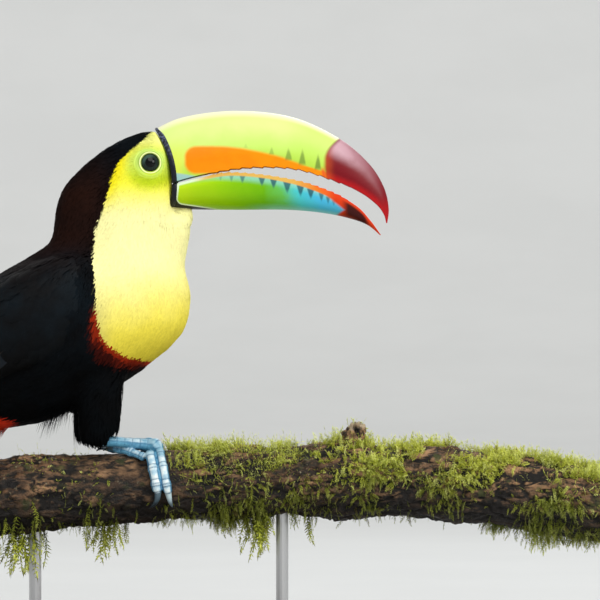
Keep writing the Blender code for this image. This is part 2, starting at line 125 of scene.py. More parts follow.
class Finish:
    # a material with one Principled shader, and short ways to what feeds it

    def __init__(self, name, constants):
        self.material = bpy.data.materials.new(name)
        self.material.use_nodes = True
        self.tree = self.material.node_tree
        self.shader = self.tree.nodes["Principled BSDF"]
        for key, value in constants.items():
            self.shader.inputs[key].default_value = value
        self.wire = Wire(self.tree)

    def place(self):
        # position in millimetres
        point = self.wire.make("TexCoord", 3)
        return self.scaled(point, 1 / mm)

    def scaled(self, colour, factor):
        return self.wire.make("VectorMath", 0, {"operation": "SCALE"}, {0: colour, 3: factor})

    def value(self, name):
        return self.wire.make("Attribute", 2, {"attribute_name": name})

    def noise(self, scale, detail=3.0, stretch=(1, 1, 1), rough=0.55):
        moved = self.wire.make("Mapping", 0, None, {0: self.place(), 3: stretch})
        return self.wire.make("TexNoise", 0, None,
                              {"Vector": moved, "Scale": scale, "Detail": detail, "Roughness": rough})

    def paint(self, colour, roughness=None):
        self.feed("Base Color", colour)
        if roughness:
            self.feed("Roughness", roughness)

    def bump(self, height, strength, depth):
        self.feed("Normal", self.wire.make("Bump", 0, None, {"Height": height, "Strength": strength,
                                                             "Distance": depth * mm}))

    def feed(self, socket, wire):
        self.tree.links.new(wire.socket, self.shader.inputs[socket])


def pickOnly(*objects):
    bpy.ops.object.select_all(action="DESELECT")
    for obj in objects:
        obj.select_set(True)
    bpy.context.view_layer.objects.active = objects[0]


def applyModifier(obj, kind, **values):
    pickOnly(obj)
    step = obj.modifiers.new(kind.lower(), kind)
    for key, value in values.items():
        setattr(step, key, value)
    bpy.ops.object.modifier_apply(modifier=step.name)


def setPoints(obj, points):
    # points in millimetres
    obj.data.vertices.foreach_set("co", (np.asarray(points) * mm).astype(np.float32).ravel())
    obj.data.update()


def addValues(obj, values):
    # numbers at the points, which a finish reads by name
    for key, value in values.items():
        attribute = obj.data.attributes.new(key, "FLOAT", "POINT")
        attribute.data.foreach_set("value", np.asarray(value, np.float32))


def buildPiece(name, points, faces, finish, smooth=True, values=None, bakeUv=None):
    # faces is one array, or several of unlike corner counts
    groups = [np.asarray(g, dtype=np.int32) for g in (faces if isinstance(faces, list) else [faces])]
    corners = np.concatenate([g.ravel() for g in groups])
    sizes = np.concatenate([np.full(len(g), g.shape[1]) for g in groups])
    mesh = bpy.data.meshes.new(name)
    mesh.vertices.add(len(points))
    mesh.loops.add(len(corners))
    mesh.loops.foreach_set("vertex_index", corners)
    mesh.polygons.add(len(sizes))
    mesh.polygons.foreach_set("loop_start", np.concatenate(([0], np.cumsum(sizes)[:-1])).astype(np.int32))
    mesh.update(calc_edges=True)
    if smooth:
        mesh.shade_smooth()
    if bakeUv is not None:
        layer = mesh.uv_layers.new(name="OFBake")
        layer.data.foreach_set("uv", bakeUv[corners].astype(np.float32).ravel())
    if finish is not None:
        mesh.materials.append(finish)
    piece = bpy.data.objects.new(name, mesh)
    bpy.context.scene.collection.objects.link(piece)
    setPoints(piece, points)
    addValues(piece, values or {})
    return piece


def readArray(items, key, width, kind=np.float32):
    # one row of numbers from each of a mesh's items
    values = np.empty(len(items) * width, kind)
    items.foreach_get(key, values)
    return values.reshape(-1, width)


def meshArrays(obj):
    # points in millimetres and triangles
    obj.data.calc_loop_triangles()
    points = readArray(obj.data.vertices, "co", 3).astype(float) / mm
    return points, readArray(obj.data.loop_triangles, "vertices", 3, np.int32)


def vertexNormals(obj):
    return readArray(obj.data.vertices, "normal", 3).astype(float)


def treeOf(points, triangles):
    return BVHTree.FromPolygons(points.tolist(), triangles.tolist())


def triangleAreas(corners):
    across = np.cross(corners[:, 1] - corners[:, 0], corners[:, 2] - corners[:, 0])
    return np.linalg.norm(across, axis=1) / 2


def unit(vectors):
    return vectors / np.maximum(np.linalg.norm(vectors, axis=-1, keepdims=True), 1e-9)


def smoothStep(low, high, value):
    share = np.clip((value - low) / (high - low), 0, 1)
    return share * share * (3 - 2 * share)


def along(rows, position):
    # the table's numbers at positions between its rows, on a Catmull-Rom curve
    rows = np.asarray(rows, float)
    position = np.asarray(position, float)
    start = np.clip(position.astype(int), 0, len(rows) - 2)
    f = (position - start)[..., None]
    a, b, c, d = (rows[np.clip(start + k, 0, len(rows) - 1)] for k in (-1, 0, 1, 2))
    return 0.5 * (2 * b + (c - a) * f + (2 * a - 5 * b + 4 * c - d) * f**2 + (3 * b - a - 3 * c + d) * f**3)


def lineLengths(line):
    # length of a line of points up to each of them
    return np.concatenate(([0], np.cumsum(np.linalg.norm(np.diff(line, axis=0), axis=1))))


def gridFaces(rows, columns, closed=False):
    # quads of a grid of points, joined round its columns where closed
    r, c = np.meshgrid(np.arange(rows - 1), np.arange(columns if closed else columns - 1), indexing="ij")
    n = (c + 1) % columns
    return np.stack([r * columns + c, r * columns + n, (r + 1) * columns + n, (r + 1) * columns + c],
                    -1).reshape(-1, 4)


def capFaces(rows, columns):
    # triangles from the first and the last ring to the two points that follow the rings
    turn = np.arange(columns)
    after = (turn + 1) % columns
    start = np.full(columns, rows * columns)
    last = (rows - 1) * columns
    return [np.stack([start, turn, after], 1), np.stack([start + 1, last + after, last + turn], 1)]


def ringPoints(turns, first, second):
    # unit circle in the plane of two directions
    return np.cos(turns)[None, :, None] * first + np.sin(turns)[None, :, None] * second


def tubePiece(name, line, radii, finish, sides=12):
    # closed round bar along a line of points
    line = np.asarray(line, float)
    tangent = unit(np.gradient(line, axis=0))
    helper = np.array([0.0, 0.0, 1.0]) if abs(tangent[:, 2]).max() < 0.95 else np.array([0.0, 1.0, 0.0])
    first = unit(np.cross(tangent, helper))
    second = np.cross(first, tangent)
    turns = np.linspace(0, math.tau, sides, endpoint=False)
    ring = ringPoints(turns, first[:, None], second[:, None])
    ring = line[:, None] + np.asarray(radii, float)[:, None, None] * ring
    points = np.concatenate([ring.reshape(-1, 3), line[:1], line[-1:]])
    rows = len(line)
    share = np.concatenate([np.repeat(np.linspace(0, 1, rows), sides), [0, 1]])
    piece = buildPiece(name, points, [gridFaces(rows, sides, True), *capFaces(rows, sides)], finish, True,
                       {"share": share})
    outward(piece)
    return piece


def outward(obj, weld=0.0, close=False):
    # turns the normals outwards, after its doubles are merged and its ends closed where asked
    work = bmesh.new()
    work.from_mesh(obj.data)
    if weld:
        bmesh.ops.remove_doubles(work, verts=work.verts, dist=weld * mm)
    if close:
        bmesh.ops.holes_fill(work, edges=[edge for edge in work.edges if edge.is_boundary], sides=0)
    bmesh.ops.recalc_face_normals(work, faces=work.faces)
    work.to_mesh(obj.data)
    work.free()


def copyOfNodes(name, names, grow=0.0):
    # one object from copies of CAD nodes, welded, each grown a little so that they merge
    copies = []
    for node in names:
        copy = bpy.data.objects.new(name, nodes[node].data.copy())
        bpy.context.scene.collection.objects.link(copy)
        work = bmesh.new()
        work.from_mesh(copy.data)
        bmesh.ops.remove_doubles(work, verts=work.verts, dist=0.01 * mm)
        work.normal_update()
        for corner in work.verts:
            corner.co += corner.normal * grow * mm
        work.to_mesh(copy.data)
        work.free()
        copies.append(copy)
    pickOnly(*copies)
    if len(copies) > 1:
        bpy.ops.object.join()
    joined = bpy.context.view_layer.objects.active
    joined.data.materials.clear()
    return joined


def keepBiggest(obj):
    # drops small shells that a remesh leaves inside
    pickOnly(obj)
    bpy.ops.object.mode_set(mode="EDIT")
    bpy.ops.mesh.select_all(action="SELECT")
    bpy.ops.mesh.separate(type="LOOSE")
    bpy.ops.object.mode_set(mode="OBJECT")
    shells = sorted(bpy.context.selected_objects, key=lambda o: len(o.data.vertices))
    for shell in shells[:-1]:
        bpy.data.objects.remove(shell, do_unlink=True)
    return shells[-1]


def remesh(obj, voxel, factor, rounds):
    # one even surface over all that overlaps, smoothed
    applyModifier(obj, "REMESH", mode="VOXEL", voxel_size=voxel * mm)
    obj = keepBiggest(obj)
    applyModifier(obj, "SMOOTH", factor=factor, iterations=rounds)
    return obj


def place(piece, replaced=()):
    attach(piece, "root")
    if replaced:
        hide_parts(*replaced)
    return piece


# view and light
studio = {"aim": (102.1, 207.0), "distance": 2835.0, "lens": 300.0, "sensor": 36.0, "clipEnd": 60000.0,
          "skyStrength": 0.52, "skyColour": (0.93, 0.95, 0.97), "lampAim": (30, 0, 200),
          "floor": ((0.60, 0.605, 0.60), (0.62, 0.625, 0.62)), "width": 60000.0, "front": -30000.0,
          "wallAt": 8000.0, "curve": 4000.0, "wallTop": 16000.0}
# size is the sun's angle, or the side of an area lamp in millimetres
lamps = {
    "overcast": {"kind": "SUN", "at": (250, -1050, 1500), "power": 1.75, "size": 0.9,
                 "colour": (1.0, 0.99, 0.96)},
    "key": {"kind": "AREA", "at": (1150, -1050, 850), "power": 9, "size": 700, "colour": (1.0, 0.98, 0.95)},
    "rim": {"kind": "AREA", "at": (500, 1200, 1300), "power": 7, "size": 800, "colour": (0.95, 0.98, 1.0)},
}


def setCamera():
    x, z = studio["aim"]
    bpy.ops.object.camera_add(location=(x * mm, -studio["distance"] * mm, z * mm),
                              rotation=(math.pi / 2, 0, 0))
    camera = bpy.context.object
    camera.name = "camera"
    camera.data.lens = studio["lens"]
    camera.data.sensor_width = studio["sensor"]
    camera.data.clip_end = studio["clipEnd"] * mm
    bpy.context.scene.camera = camera
    bpy.context.scene.view_settings.view_transform = "Standard"


def setLamps():
    world = bpy.data.worlds.new("studio")
    world.use_nodes = True
    sky = world.node_tree.nodes["Background"]
    sky.inputs[0].default_value = (*studio["skyColour"], 1.0)
    sky.inputs[1].default_value = studio["skyStrength"]
    bpy.context.scene.world = world
    for name, lamp in lamps.items():
        at = Vector(lamp["at"]) * mm
        bpy.ops.object.light_add(type=lamp["kind"], location=at)
        light = bpy.context.object
        light.name = name
        light.data.energy = lamp["power"]
        light.data.color = lamp["colour"]
        if lamp["kind"] == "SUN":
            light.data.angle = lamp["size"]
        else:
            light.data.size = lamp["size"] * mm
        towards = Vector(studio["lampAim"]) * mm - at
        light.rotation_euler = towards.to_track_quat("-Z", "Y").to_euler()


def makeFloor():
    # floor that sweeps up into a far wall
    turn = np.linspace(0, math.pi / 2, 24)
    arcY = studio["wallAt"] + studio["curve"] * (np.sin(turn) - 1)
    arcZ = studio["curve"] * (1 - np.cos(turn))
    depth = np.concatenate([[studio["front"]], arcY, [studio["wallAt"]]])
    rise = np.concatenate([[0.0], arcZ, [studio["wallTop"]]])
    half = studio["width"] / 2
    points = np.concatenate([np.stack([np.full(len(depth), side * half), depth, rise], 1)
                             for side in (-1, 1)])
    matt = Finish("floorPaint", {"Roughness": 0.9})
    matt.paint(matt.noise(0.004, 4.0).step(0.3, 0.7).mix(*studio["floor"]))
    count = len(depth)
    across = np.arange(count - 1)
    faces = np.stack([across, across + count, across + count + 1, across + 1], 1)
    buildPiece("floor", points, faces, matt.material)


# side-view curves (x, z) of the plumage's edges, and places and sizes of single marks
markings = {
    "bibEdge": ((19.8, 303.4), (14.2, 297.2), (7.2, 291.6), (0.1, 284.3), (-3.3, 275.6), (-6.0, 265.5),
                (-10.1, 253.2), (-12.6, 246.0), (-13.0, 235.1), (-13.8, 227.9), (-11.6, 213.4),
                (-11.6, 205.3), (-10.5, 196.4), (-9.4, 187.7), (-4.2, 180.5), (3.6, 174.9),
                (17.9, 172.3), (27.0, 175.6), (60.0, 196.0)),
    "redEdge": ((-13.5, 214.0), (-15.0, 200.0), (-16.4, 188.0), (-16.4, 179.0), (-11.8, 171.5),
                (-3.6, 168.2), (9.1, 167.2), (17.4, 169.4), (27.0, 173.6), (60.0, 193.0)),
    "bibFar": ((90, 196), (90, 303.4)),
    "redFar": ((90, 193), (90, 212)),
    "wingEdge": ((-42.5, 229), (-30, 222), (-21.5, 211.5), (-20.4, 194.5), (-32.9, 180.9), (-68, 165),
                 (-113.4, 148), (-178, 128), (-190, 129), (-186, 136), (-136.1, 166), (-113.4, 192.8)),
    "wingFar": ((-113.4, 196),),
    "eye": (17.2, 284.0),
    "bareSkin": 8.6,
    "vent": (-57.0, 138.5),
}


def sideOf(x, z, curve, far):
    # signed distance to a curve in the side view, positive in the area that the far points close
    curve = np.asarray(curve, float)
    nearest = np.full(len(x), 1e9)
    for (ax, az), (bx, bz) in zip(curve, curve[1:]):
        dx, dz = bx - ax, bz - az
        share = np.clip(((x - ax) * dx + (z - az) * dz) / (dx * dx + dz * dz), 0, 1)
        nearest = np.minimum(nearest, np.hypot(x - ax - share * dx, z - az - share * dz))
    loop = np.concatenate([curve, np.asarray(far, float)])
    inside = np.zeros(len(x), bool)
    for (ax, az), (bx, bz) in zip(loop, np.roll(loop, -1, axis=0)):
        if az != bz:
            crosses = (az > z) != (bz > z)
            inside ^= crosses & (x < (bx - ax) * (z - az) / (bz - az) + ax)
    return np.where(inside, nearest, -nearest)


def markingsAt(points, ragged=0.0):
    # how far each point belongs to each coloured area, 0 to 1
    x, y, z = points.T
    stray = rng.normal(0, 1, len(points)) * ragged
    bib = sideOf(x, z, markings["bibEdge"], markings["bibFar"]) + stray * 0.5
    red = sideOf(x, z, markings["redEdge"], markings["redFar"]) + stray
    eyeX, eyeZ = markings["eye"]
    fromEye = np.hypot((x - eyeX) * np.where(x > eyeX, 0.8, 1.1),
                       (z - eyeZ) * np.where(z > eyeZ, 1.35, 1.0))
    ventX, ventZ = markings["vent"]
    under = (ventX - x) * 0.16 + ventZ - z + stray
    tailPlane = 155 + (x + 133) * 0.404
    under = np.minimum(under, np.where(x < -112, tailPlane - 3 - z, 9))
    under = np.minimum(under, 14.2 - np.abs(y) + 30 * smoothStep(-112, -88, x))
    rump = np.minimum(-112 - x + stray * 2, 13.5 - np.abs(y) + stray * 0.5)
    rump = np.minimum(rump, z - tailPlane - 1)
    nape = smoothStep(8, -16, x) * smoothStep(226, 256, z - x * 0.2) * smoothStep(302, 268, z)
    depth = smoothStep(-2.2, 3.0, red) * 0.5 + smoothStep(-6.5, -0.8, bib) * 0.5
    return {
        "bib": smoothStep(-0.35, 0.35, bib),
        "red": depth * smoothStep(214, 196, z) * smoothStep(-3.0, 0.5, red),
        "face": smoothStep(254, 276, z),
        "green": smoothStep(17.5, 9.0, fromEye),
        "edge": smoothStep(8.0, 0.5, bib) * smoothStep(252, 275, z) * smoothStep(297, 287, z),
        "nape": nape,
        "vent": smoothStep(-0.8, 0.8, under) * smoothStep(0, 4, ventX - x + stray * 2),
        "rump": smoothStep(0, 2, rump),
    }


plumageTones = {
    "deepBlack": (0.0016, 0.0017, 0.0019), "black": (0.0030, 0.0032, 0.0038),
    "sheenBlueBlack": (0.0042, 0.0075, 0.0105), "maroon": (0.0185, 0.0065, 0.0042),
    "pale": (0.98, 0.93, 0.42), "lemon": (0.93, 0.79, 0.085), "deepYellow": (0.62, 0.50, 0.03),
    "shadedYellow": (0.55, 0.50, 0.17), "faceYellow": (0.96, 0.92, 0.05), "browYellow": (0.96, 0.97, 0.26),
    "edgeYellow": (0.97, 0.82, 0.008), "eyeGreen": (0.68, 0.84, 0.13), "shadedGreen": (0.50, 0.64, 0.015),
    "red": (0.37, 0.027, 0.006), "darkRed": (0.062, 0.0065, 0.0035), "ventRed": (0.62, 0.035, 0.012),
    "white": (0.86, 0.85, 0.78),
}


def plumageFinish(name, roughness, shine=0.03):
    # one finish for skin and feathers, coloured by the markings at each point
    tone = plumageTones
    coat = Finish(name, {"Specular IOR Level": shine})
    x, _, z = coat.place().parts()
    patches = coat.noise(0.05, 4.0)
    high = z.step(165.0, 205.0)
    # black is deepest low down; its bluish patches, stronger higher up, are a painted sheen
    black = high.mix(tone["deepBlack"], tone["black"])
    black = (patches.step(0.35, 0.7) * (high * 0.75 + 0.25)).mix(black, tone["sheenBlueBlack"])
    black = (coat.value("nape") * (patches.step(0.2, 0.6) * 0.5 + 0.5)).mix(black, tone["maroon"])
    low = (z + patches * 14.0 - x * 0.25).step(236.0, 190.0)
    yellow = low.mix(tone["pale"], tone["lemon"])
    yellow = ((z + patches * 6.0 - x * 0.2).step(198.0, 168.0) * 0.8).mix(yellow, tone["deepYellow"])
    # the lower rear of the bib is painted duller yellow as shade
    yellow = (x.step(0.0, -13.0) * z.step(218.0, 194.0) * 0.55).mix(yellow, tone["shadedYellow"])
    face = z.step(286.0, 298.0).mix(tone["faceYellow"], tone["browYellow"])
    yellow = coat.value("face").mix(yellow, face)
    yellow = (coat.value("edge") * 0.85).mix(yellow, tone["edgeYellow"])
    # green round the eye, darker below it as painted shade
    yellow = coat.value("green").mix(yellow, z.step(288.0, 273.0).mix(tone["eyeGreen"], tone["shadedGreen"]))
    red = coat.value("red")
    colour = red.step(0.12, 0.75).mix(black, tone["darkRed"])
    colour = (red.step(0.5, 1.0) * patches.step(0.25, 0.6)).mix(colour, tone["red"])
    colour = coat.value("bib").mix(colour, yellow)
    colour = coat.value("rump").mix(colour, tone["white"])
    colour = coat.value("vent").mix(colour, tone["ventRed"])
    shade = coat.value("tone") * 0.16 + 0.88
    coat.paint(coat.scaled(colour, shade), coat.noise(0.8, 2.0) * 0.2 + (roughness - 0.1))
    coat.bump(coat.noise(2.2, 3.0), 0.15, 0.15)
    return coat.material


fleshNodes = ["head", "neck", "trunk", "wing_right", "wing_left", "right_thigh", "left_thigh",
              "tail_coverts_upper", "tail_coverts_under"]
# depths are how far the skin lies inside the solids, where the coat then fills it out
skinShape = {
    "voxel": 1.5, "grow": 0.7, "smoothing": 8, "bodyDepth": 2.1, "bibDepth": 1.5, "faceDepth": 0.8,
    "rimDepth": 0.3, "wingDepth": 1.3, "tailDepth": 1.2, "thinShare": 0.36, "farWall": 60.0,
    "rim": (-25.0, 272.0, 55.1), "throatPinch": 0.52, "chinAt": (30.9, 0.0, 247.0),
    "chinSize": (6.6, 11.4, 30.0), "chinFlat": (1.0, 0.75, 1.0), "tailRootAt": (-146.0, 0.0, 154.5),
    "tailRootSize": (31.0, 12.8, 12.5), "tailRootTilt": 24.0,
}

# side-view arrows that the feathers follow: x, z, and the way they point
lie = np.array([
    (20, 303, -1.0, -0.05), (8, 300, -0.93, -0.3), (-5, 295, -0.85, -0.5), (-20, 284, -0.7, -0.7),
    (-30, 272, -0.45, -0.9), (-38, 255, -0.1, -1.0), (-40, 243, -0.3, -0.95), (-52, 232, -0.85, -0.5),
    (-82, 214, -0.85, -0.5), (-113, 196, -0.86, -0.5), (-140, 174, -0.85, -0.52), (-165, 155, -0.92, -0.4),
    (15, 296, -0.95, -0.15), (5, 288, -0.85, -0.45), (2, 276, -0.62, -0.75), (20, 272, -0.55, -0.8),
    (28, 268, -0.4, -0.9), (8, 262, -0.35, -0.93), (34, 258, 0.15, -0.98), (39, 255, 0.05, -1.0),
    (40, 248, 0.02, -1.0), (40, 238, 0.0, -1.0),
    (18, 245, -0.08, -1.0), (-8, 240, -0.42, -0.9), (-10, 222, -0.5, -0.87), (-6, 200, -0.5, -0.87),
    (-28, 250, -0.2, -0.98), (-25, 232, -0.4, -0.9),
    (40, 210, 0.02, -1.0), (38, 195, -0.1, -1.0), (20, 205, -0.08, -1.0), (0, 205, -0.2, -0.98),
    (25, 182, -0.5, -0.87), (5, 182, -0.45, -0.9), (-12, 195, -0.4, -0.9), (5, 165, -0.75, -0.66),
    (-15, 170, -0.75, -0.66), (-30, 145, -0.95, -0.3), (-50, 165, -0.92, -0.4), (-30, 185, -0.75, -0.66),
    (-40, 205, -0.78, -0.62), (-70, 190, -0.85, -0.5), (-100, 170, -0.88, -0.47), (-80, 137, -1.0, 0.02),
    (-120, 141, -0.97, -0.2), (-150, 140, -0.93, -0.37), (-180, 130, -0.93, -0.37), (-10, 143, 0.0, -1.0),
    (-12, 130, -0.1, -1.0), (-20, 135, -0.15, -1.0), (-2, 138, 0.05, -1.0),
])


def lieAt(points, normals, stray=0.0):
    # unit directions along the surface that the feathers point
    reach = (points[:, None, 0] - lie[None, :, 0]) ** 2 + (points[:, None, 2] - lie[None, :, 1]) ** 2
    weight = 1 / (reach + 16) ** 1.6
    weight /= weight.sum(1, keepdims=True)
    way = np.zeros((len(points), 3))
    way[:, 0] = weight @ lie[:, 2]
    way[:, 2] = weight @ lie[:, 3]
    way += rng.normal(0, 1, way.shape) * stray
    way -= normals * (way * normals).sum(1, keepdims=True)
    return unit(way)


def skinDepth(points):
    x, y, z = points.T
    shape = skinShape
    rimX, rimZ, rimRadius = shape["rim"]
    depth = np.full(len(points), shape["bodyDepth"])
    zones = ((shape["bibDepth"], smoothStep(-14, 4, x) * smoothStep(165, 180, z)),
             (shape["faceDepth"], smoothStep(-5, 12, x) * smoothStep(258, 272, z)),
             (shape["wingDepth"], smoothStep(30, 37, np.abs(y) + np.abs(x + 50) * 0.02)),
             (shape["tailDepth"], smoothStep(-92, -118, x)),
             (shape["rimDepth"], smoothStep(4.0, 0.5, rimRadius - np.hypot(x - rimX, z - rimZ))
              * (z > 250) * (x > 0)))
    for zoneDepth, share in zones:
        depth = depth + (zoneDepth - depth) * share
    return depth


def makeSkin():
    # one skin over all flesh, sunk below the solids by the depth of the coat
    shape = skinShape
    skin = copyOfNodes("skin", fleshNodes, shape["grow"])
    # the chin fills the corner under the bill, and the rump runs on over the root of the tail
    low, high, tall = shape["chinSize"]
    bpy.ops.mesh.primitive_cone_add(vertices=40, radius1=low * mm, radius2=high * mm, depth=tall * mm,
                                    location=np.multiply(shape["chinAt"], mm), scale=shape["chinFlat"])
    chin = bpy.context.object
    bpy.ops.mesh.primitive_uv_sphere_add(segments=40, ring_count=24,
                                         location=np.multiply(shape["tailRootAt"], mm),
                                         rotation=(0, -math.radians(shape["tailRootTilt"]), 0),
                                         scale=np.multiply(shape["tailRootSize"], mm))
    tailRoot = bpy.context.object
    pickOnly(chin, tailRoot)
    bpy.ops.object.transform_apply(location=True, rotation=True, scale=True)
    pickOnly(skin, chin, tailRoot)
    bpy.ops.object.join()
    skin = remesh(skin, shape["voxel"], 0.5, shape["smoothing"])
    points, triangles = meshArrays(skin)
    normals = vertexNormals(skin)
    tree = treeOf(points, triangles)
    # thin places give way by no more than a share of their thickness
    room = np.full(len(points), shape["farWall"])
    for i, (point, normal) in enumerate(zip(points, normals)):
        hit = tree.ray_cast(Vector(point - normal * 0.05), Vector(-normal), shape["farWall"])
        if hit[0] is not None:
            room[i] = hit[3]
    sunk = np.minimum(skinDepth(points) + shape["grow"], room * shape["thinShare"])
    points -= normals * sunk[:, None]
    # the throat narrows up to the keel of the bill
    x, _, z = points.T
    points[:, 1] *= 1 - shape["throatPinch"] * smoothStep(246, 258.5, z) * smoothStep(24, 32, x)
    setPoints(skin, points)
    applyModifier(skin, "SMOOTH", factor=0.5, iterations=3)
    pickOnly(skin)
    bpy.ops.object.mode_set(mode="EDIT")
    bpy.ops.mesh.select_all(action="SELECT")
    bpy.ops.uv.smart_project(angle_limit=math.radians(70), island_margin=0.002)
    bpy.ops.object.mode_set(mode="OBJECT")
    skin.data.uv_layers[0].name = "OFBake"
    skin.data.shade_smooth()
    points, _ = meshArrays(skin)
    addValues(skin, {**markingsAt(points), "tone": np.full(len(points), 0.45)})
    skin.data.materials.append(plumageFinish("skinPlumage", 0.7))
    skin.name = "skin"
    return skin


class Ground:
    # the skin as arrays: where feathers root, how they lie on it, and where its unwrap puts them

    def __init__(self, skin):
        self.points, self.triangles = meshArrays(skin)
        self.normals = vertexNormals(skin)
        self.tree = treeOf(self.points, self.triangles)
        loops = readArray(skin.data.loop_triangles, "loops", 3, np.int32)
        self.uv = readArray(skin.data.uv_layers["OFBake"].data, "uv", 2)[loops]
        corners = self.points[self.triangles]
        self.middle = corners.mean(1)
        self.area = triangleAreas(corners)

    def scatter(self, keep, cell, tries=3.5):
        # roots spread evenly, one to a cell at most, over the triangles that keep picks
        chosen = np.nonzero(keep)[0]
        area = self.area[chosen]
        count = int(area.sum() / cell**2 * tries)
        face = chosen[rng.choice(len(chosen), count, p=area / area.sum())]
        a, b = rng.random((2, count))
        flip = a + b > 1
        a[flip], b[flip] = 1 - a[flip], 1 - b[flip]
        share = np.stack([1 - a - b, a, b], 1)[..., None]
        spots = (self.points[self.triangles[face]] * share).sum(1)
        _, first = np.unique(np.floor(spots / cell).astype(int), axis=0, return_index=True)
        first = rng.permutation(first)
        normals = unit((self.normals[self.triangles[face]] * share).sum(1))
        uv = (self.uv[face] * share).sum(1)
        return spots[first], normals[first], uv[first]

    def settle(self, spots):
        # nearest points of the skin and its normals there
        onSkin, up = np.empty_like(spots), np.empty_like(spots)
        for i, spot in enumerate(spots):
            where, _, face, _ = self.tree.find_nearest(Vector(spot))
            onSkin[i] = where
            up[i] = self.normals[self.triangles[face]].mean(0)
        return onSkin, unit(up)


def featherShape(sections, across):
    # closed shape from (place along, half width, thickness) sections; across gives (side, height) points
    sides = len(across)
    points = [(sections[0][0], 0.0, 0.0)]
    for at, half, thick in sections[1:-1]:
        points += [(at, side * half, height * thick) for side, height in across]
    points.append((sections[-1][0], 0.0, 0.0))
    faces = []
    rings = len(sections) - 2
    for i in range(sides):
        j = (i + 1) % sides
        faces.append((0, 1 + j, 1 + i))
        for ring in range(rings - 1):
            a, b = 1 + ring * sides, 1 + (ring + 1) * sides
            faces += [(a + i, a + j, b + j), (a + i, b + j, b + i)]
        last = 1 + (rings - 1) * sides
        faces.append((last + i, last + j, len(points) - 1))
    return np.array(points), np.array(faces)


hairAcross = ((-1, 0), (0, 1), (1, 0))
vaneAcross = ((-1, 0), (-0.5, 0.8), (0, 1), (0.5, 0.8), (1, 0), (0, -0.35))
hairShape = featherShape([(0, 0, 0), (0.3, 0.5, 0.12), (0.72, 0.42, 0.1), (1, 0, 0)], hairAcross)
bladeShape = featherShape([(0, 0, 0), (0.15, 0.3, 0.1), (0.5, 0.5, 0.1), (0.82, 0.38, 0.08), (1, 0, 0)],
                          hairAcross)
vaneShape = featherShape([(0, 0, 0), (0.1, 0.28, 0.05), (0.4, 0.47, 0.055), (0.7, 0.5, 0.05),
                          (0.88, 0.38, 0.04), (0.97, 0.18, 0.025), (1, 0, 0)], vaneAcross)


def featherSize(spots):
    # feathers are smallest by the bill and reach full size on the neck
    x, _, z = spots.T
    chin = np.exp(-(((x - 31) / 7) ** 2) - ((z - 257) / 6) ** 2)
    return 0.36 + 0.64 * np.maximum(smoothStep(22, -22, x), smoothStep(284, 240, z)) * (1 - 0.75 * chin)


# each part of the coat: the spacing of its roots, length and width, lift as a share of the coat's depth
# there, how far directions stray, how ragged its markings are, how far the tips keep the lift (droop),
# how round each feather is shaded, and how far its tips may hang (drape)
coats = {
    "faceFeathers": dict(cell=0.6, shape=hairShape, long=7.4, wide=1.15, lift=0.7, stray=0.035,
                         slot="yellow_feathers", ragged=0.2, droop=0.45),
    "throatFeathers": dict(cell=0.78, shape=hairShape, long=9.0, wide=1.15, lift=0.75, stray=0.03,
                           slot="yellow_feathers", ragged=0.4, roundness=0.2, droop=0.45),
    "breastFeathers": dict(cell=0.82, shape=hairShape, long=9.5, wide=1.2, lift=0.8, stray=0.03,
                           slot="yellow_feathers", ragged=0.4, roundness=0.2, droop=0.5),
    "napeFeathers": dict(cell=1.05, shape=hairShape, long=7.6, wide=1.2, lift=0.92, stray=0.06),
    "backFeathers": dict(cell=1.45, shape=bladeShape, long=12.0, wide=2.0, lift=0.92, stray=0.06,
                         finish="gloss"),
    "underFeathers": dict(cell=1.3, shape=bladeShape, long=11.0, wide=1.6, lift=0.95, stray=0.07,
                          ragged=0.6),
    "wingTipFeathers": dict(cell=1.35, shape=bladeShape, long=9.0, wide=1.9, lift=0.8, stray=0.04,
                            finish="gloss", droop=0.7),
    "thighFeathers": dict(cell=1.1, shape=hairShape, long=8.0, wide=1.1, lift=0.8, stray=0.08, drape=2.5),
    "rumpFeathers": dict(cell=1.2, shape=bladeShape, long=10.0, wide=1.7, lift=0.95, stray=0.06,
                         slot="white_feathers"),
    "ventFeathers": dict(cell=1.1, shape=hairShape, long=12.0, wide=1.1, lift=1.15, stray=0.11,
                         slot="red_feathers", ragged=0.6, drape=7.0),
    "flankWisps": dict(cell=1.2, shape=hairShape, long=9.5, wide=0.32, lift=1.0, stray=0.25, drape=13.0),
    "wingCoverts": dict(cell=4.0, shape=vaneShape, long=17.0, wide=8.4, lift=1.15, stray=0.035,
                        finish="gloss", droop=0.75, roundness=0.5),
}
# what holds where a part of the coat says nothing else
plainCoat = dict(slot="black_feathers", finish="matt", ragged=0.5, sink=0.4, droop=1.0, roundness=0.35,
                 drape=0.0)


def curved(parts, weights):
    # a value for each feather at each point of its template, blended from root, middle and tip
    return sum(part[:, None] * weight[None, :, None] for part, weight in zip(parts, weights))


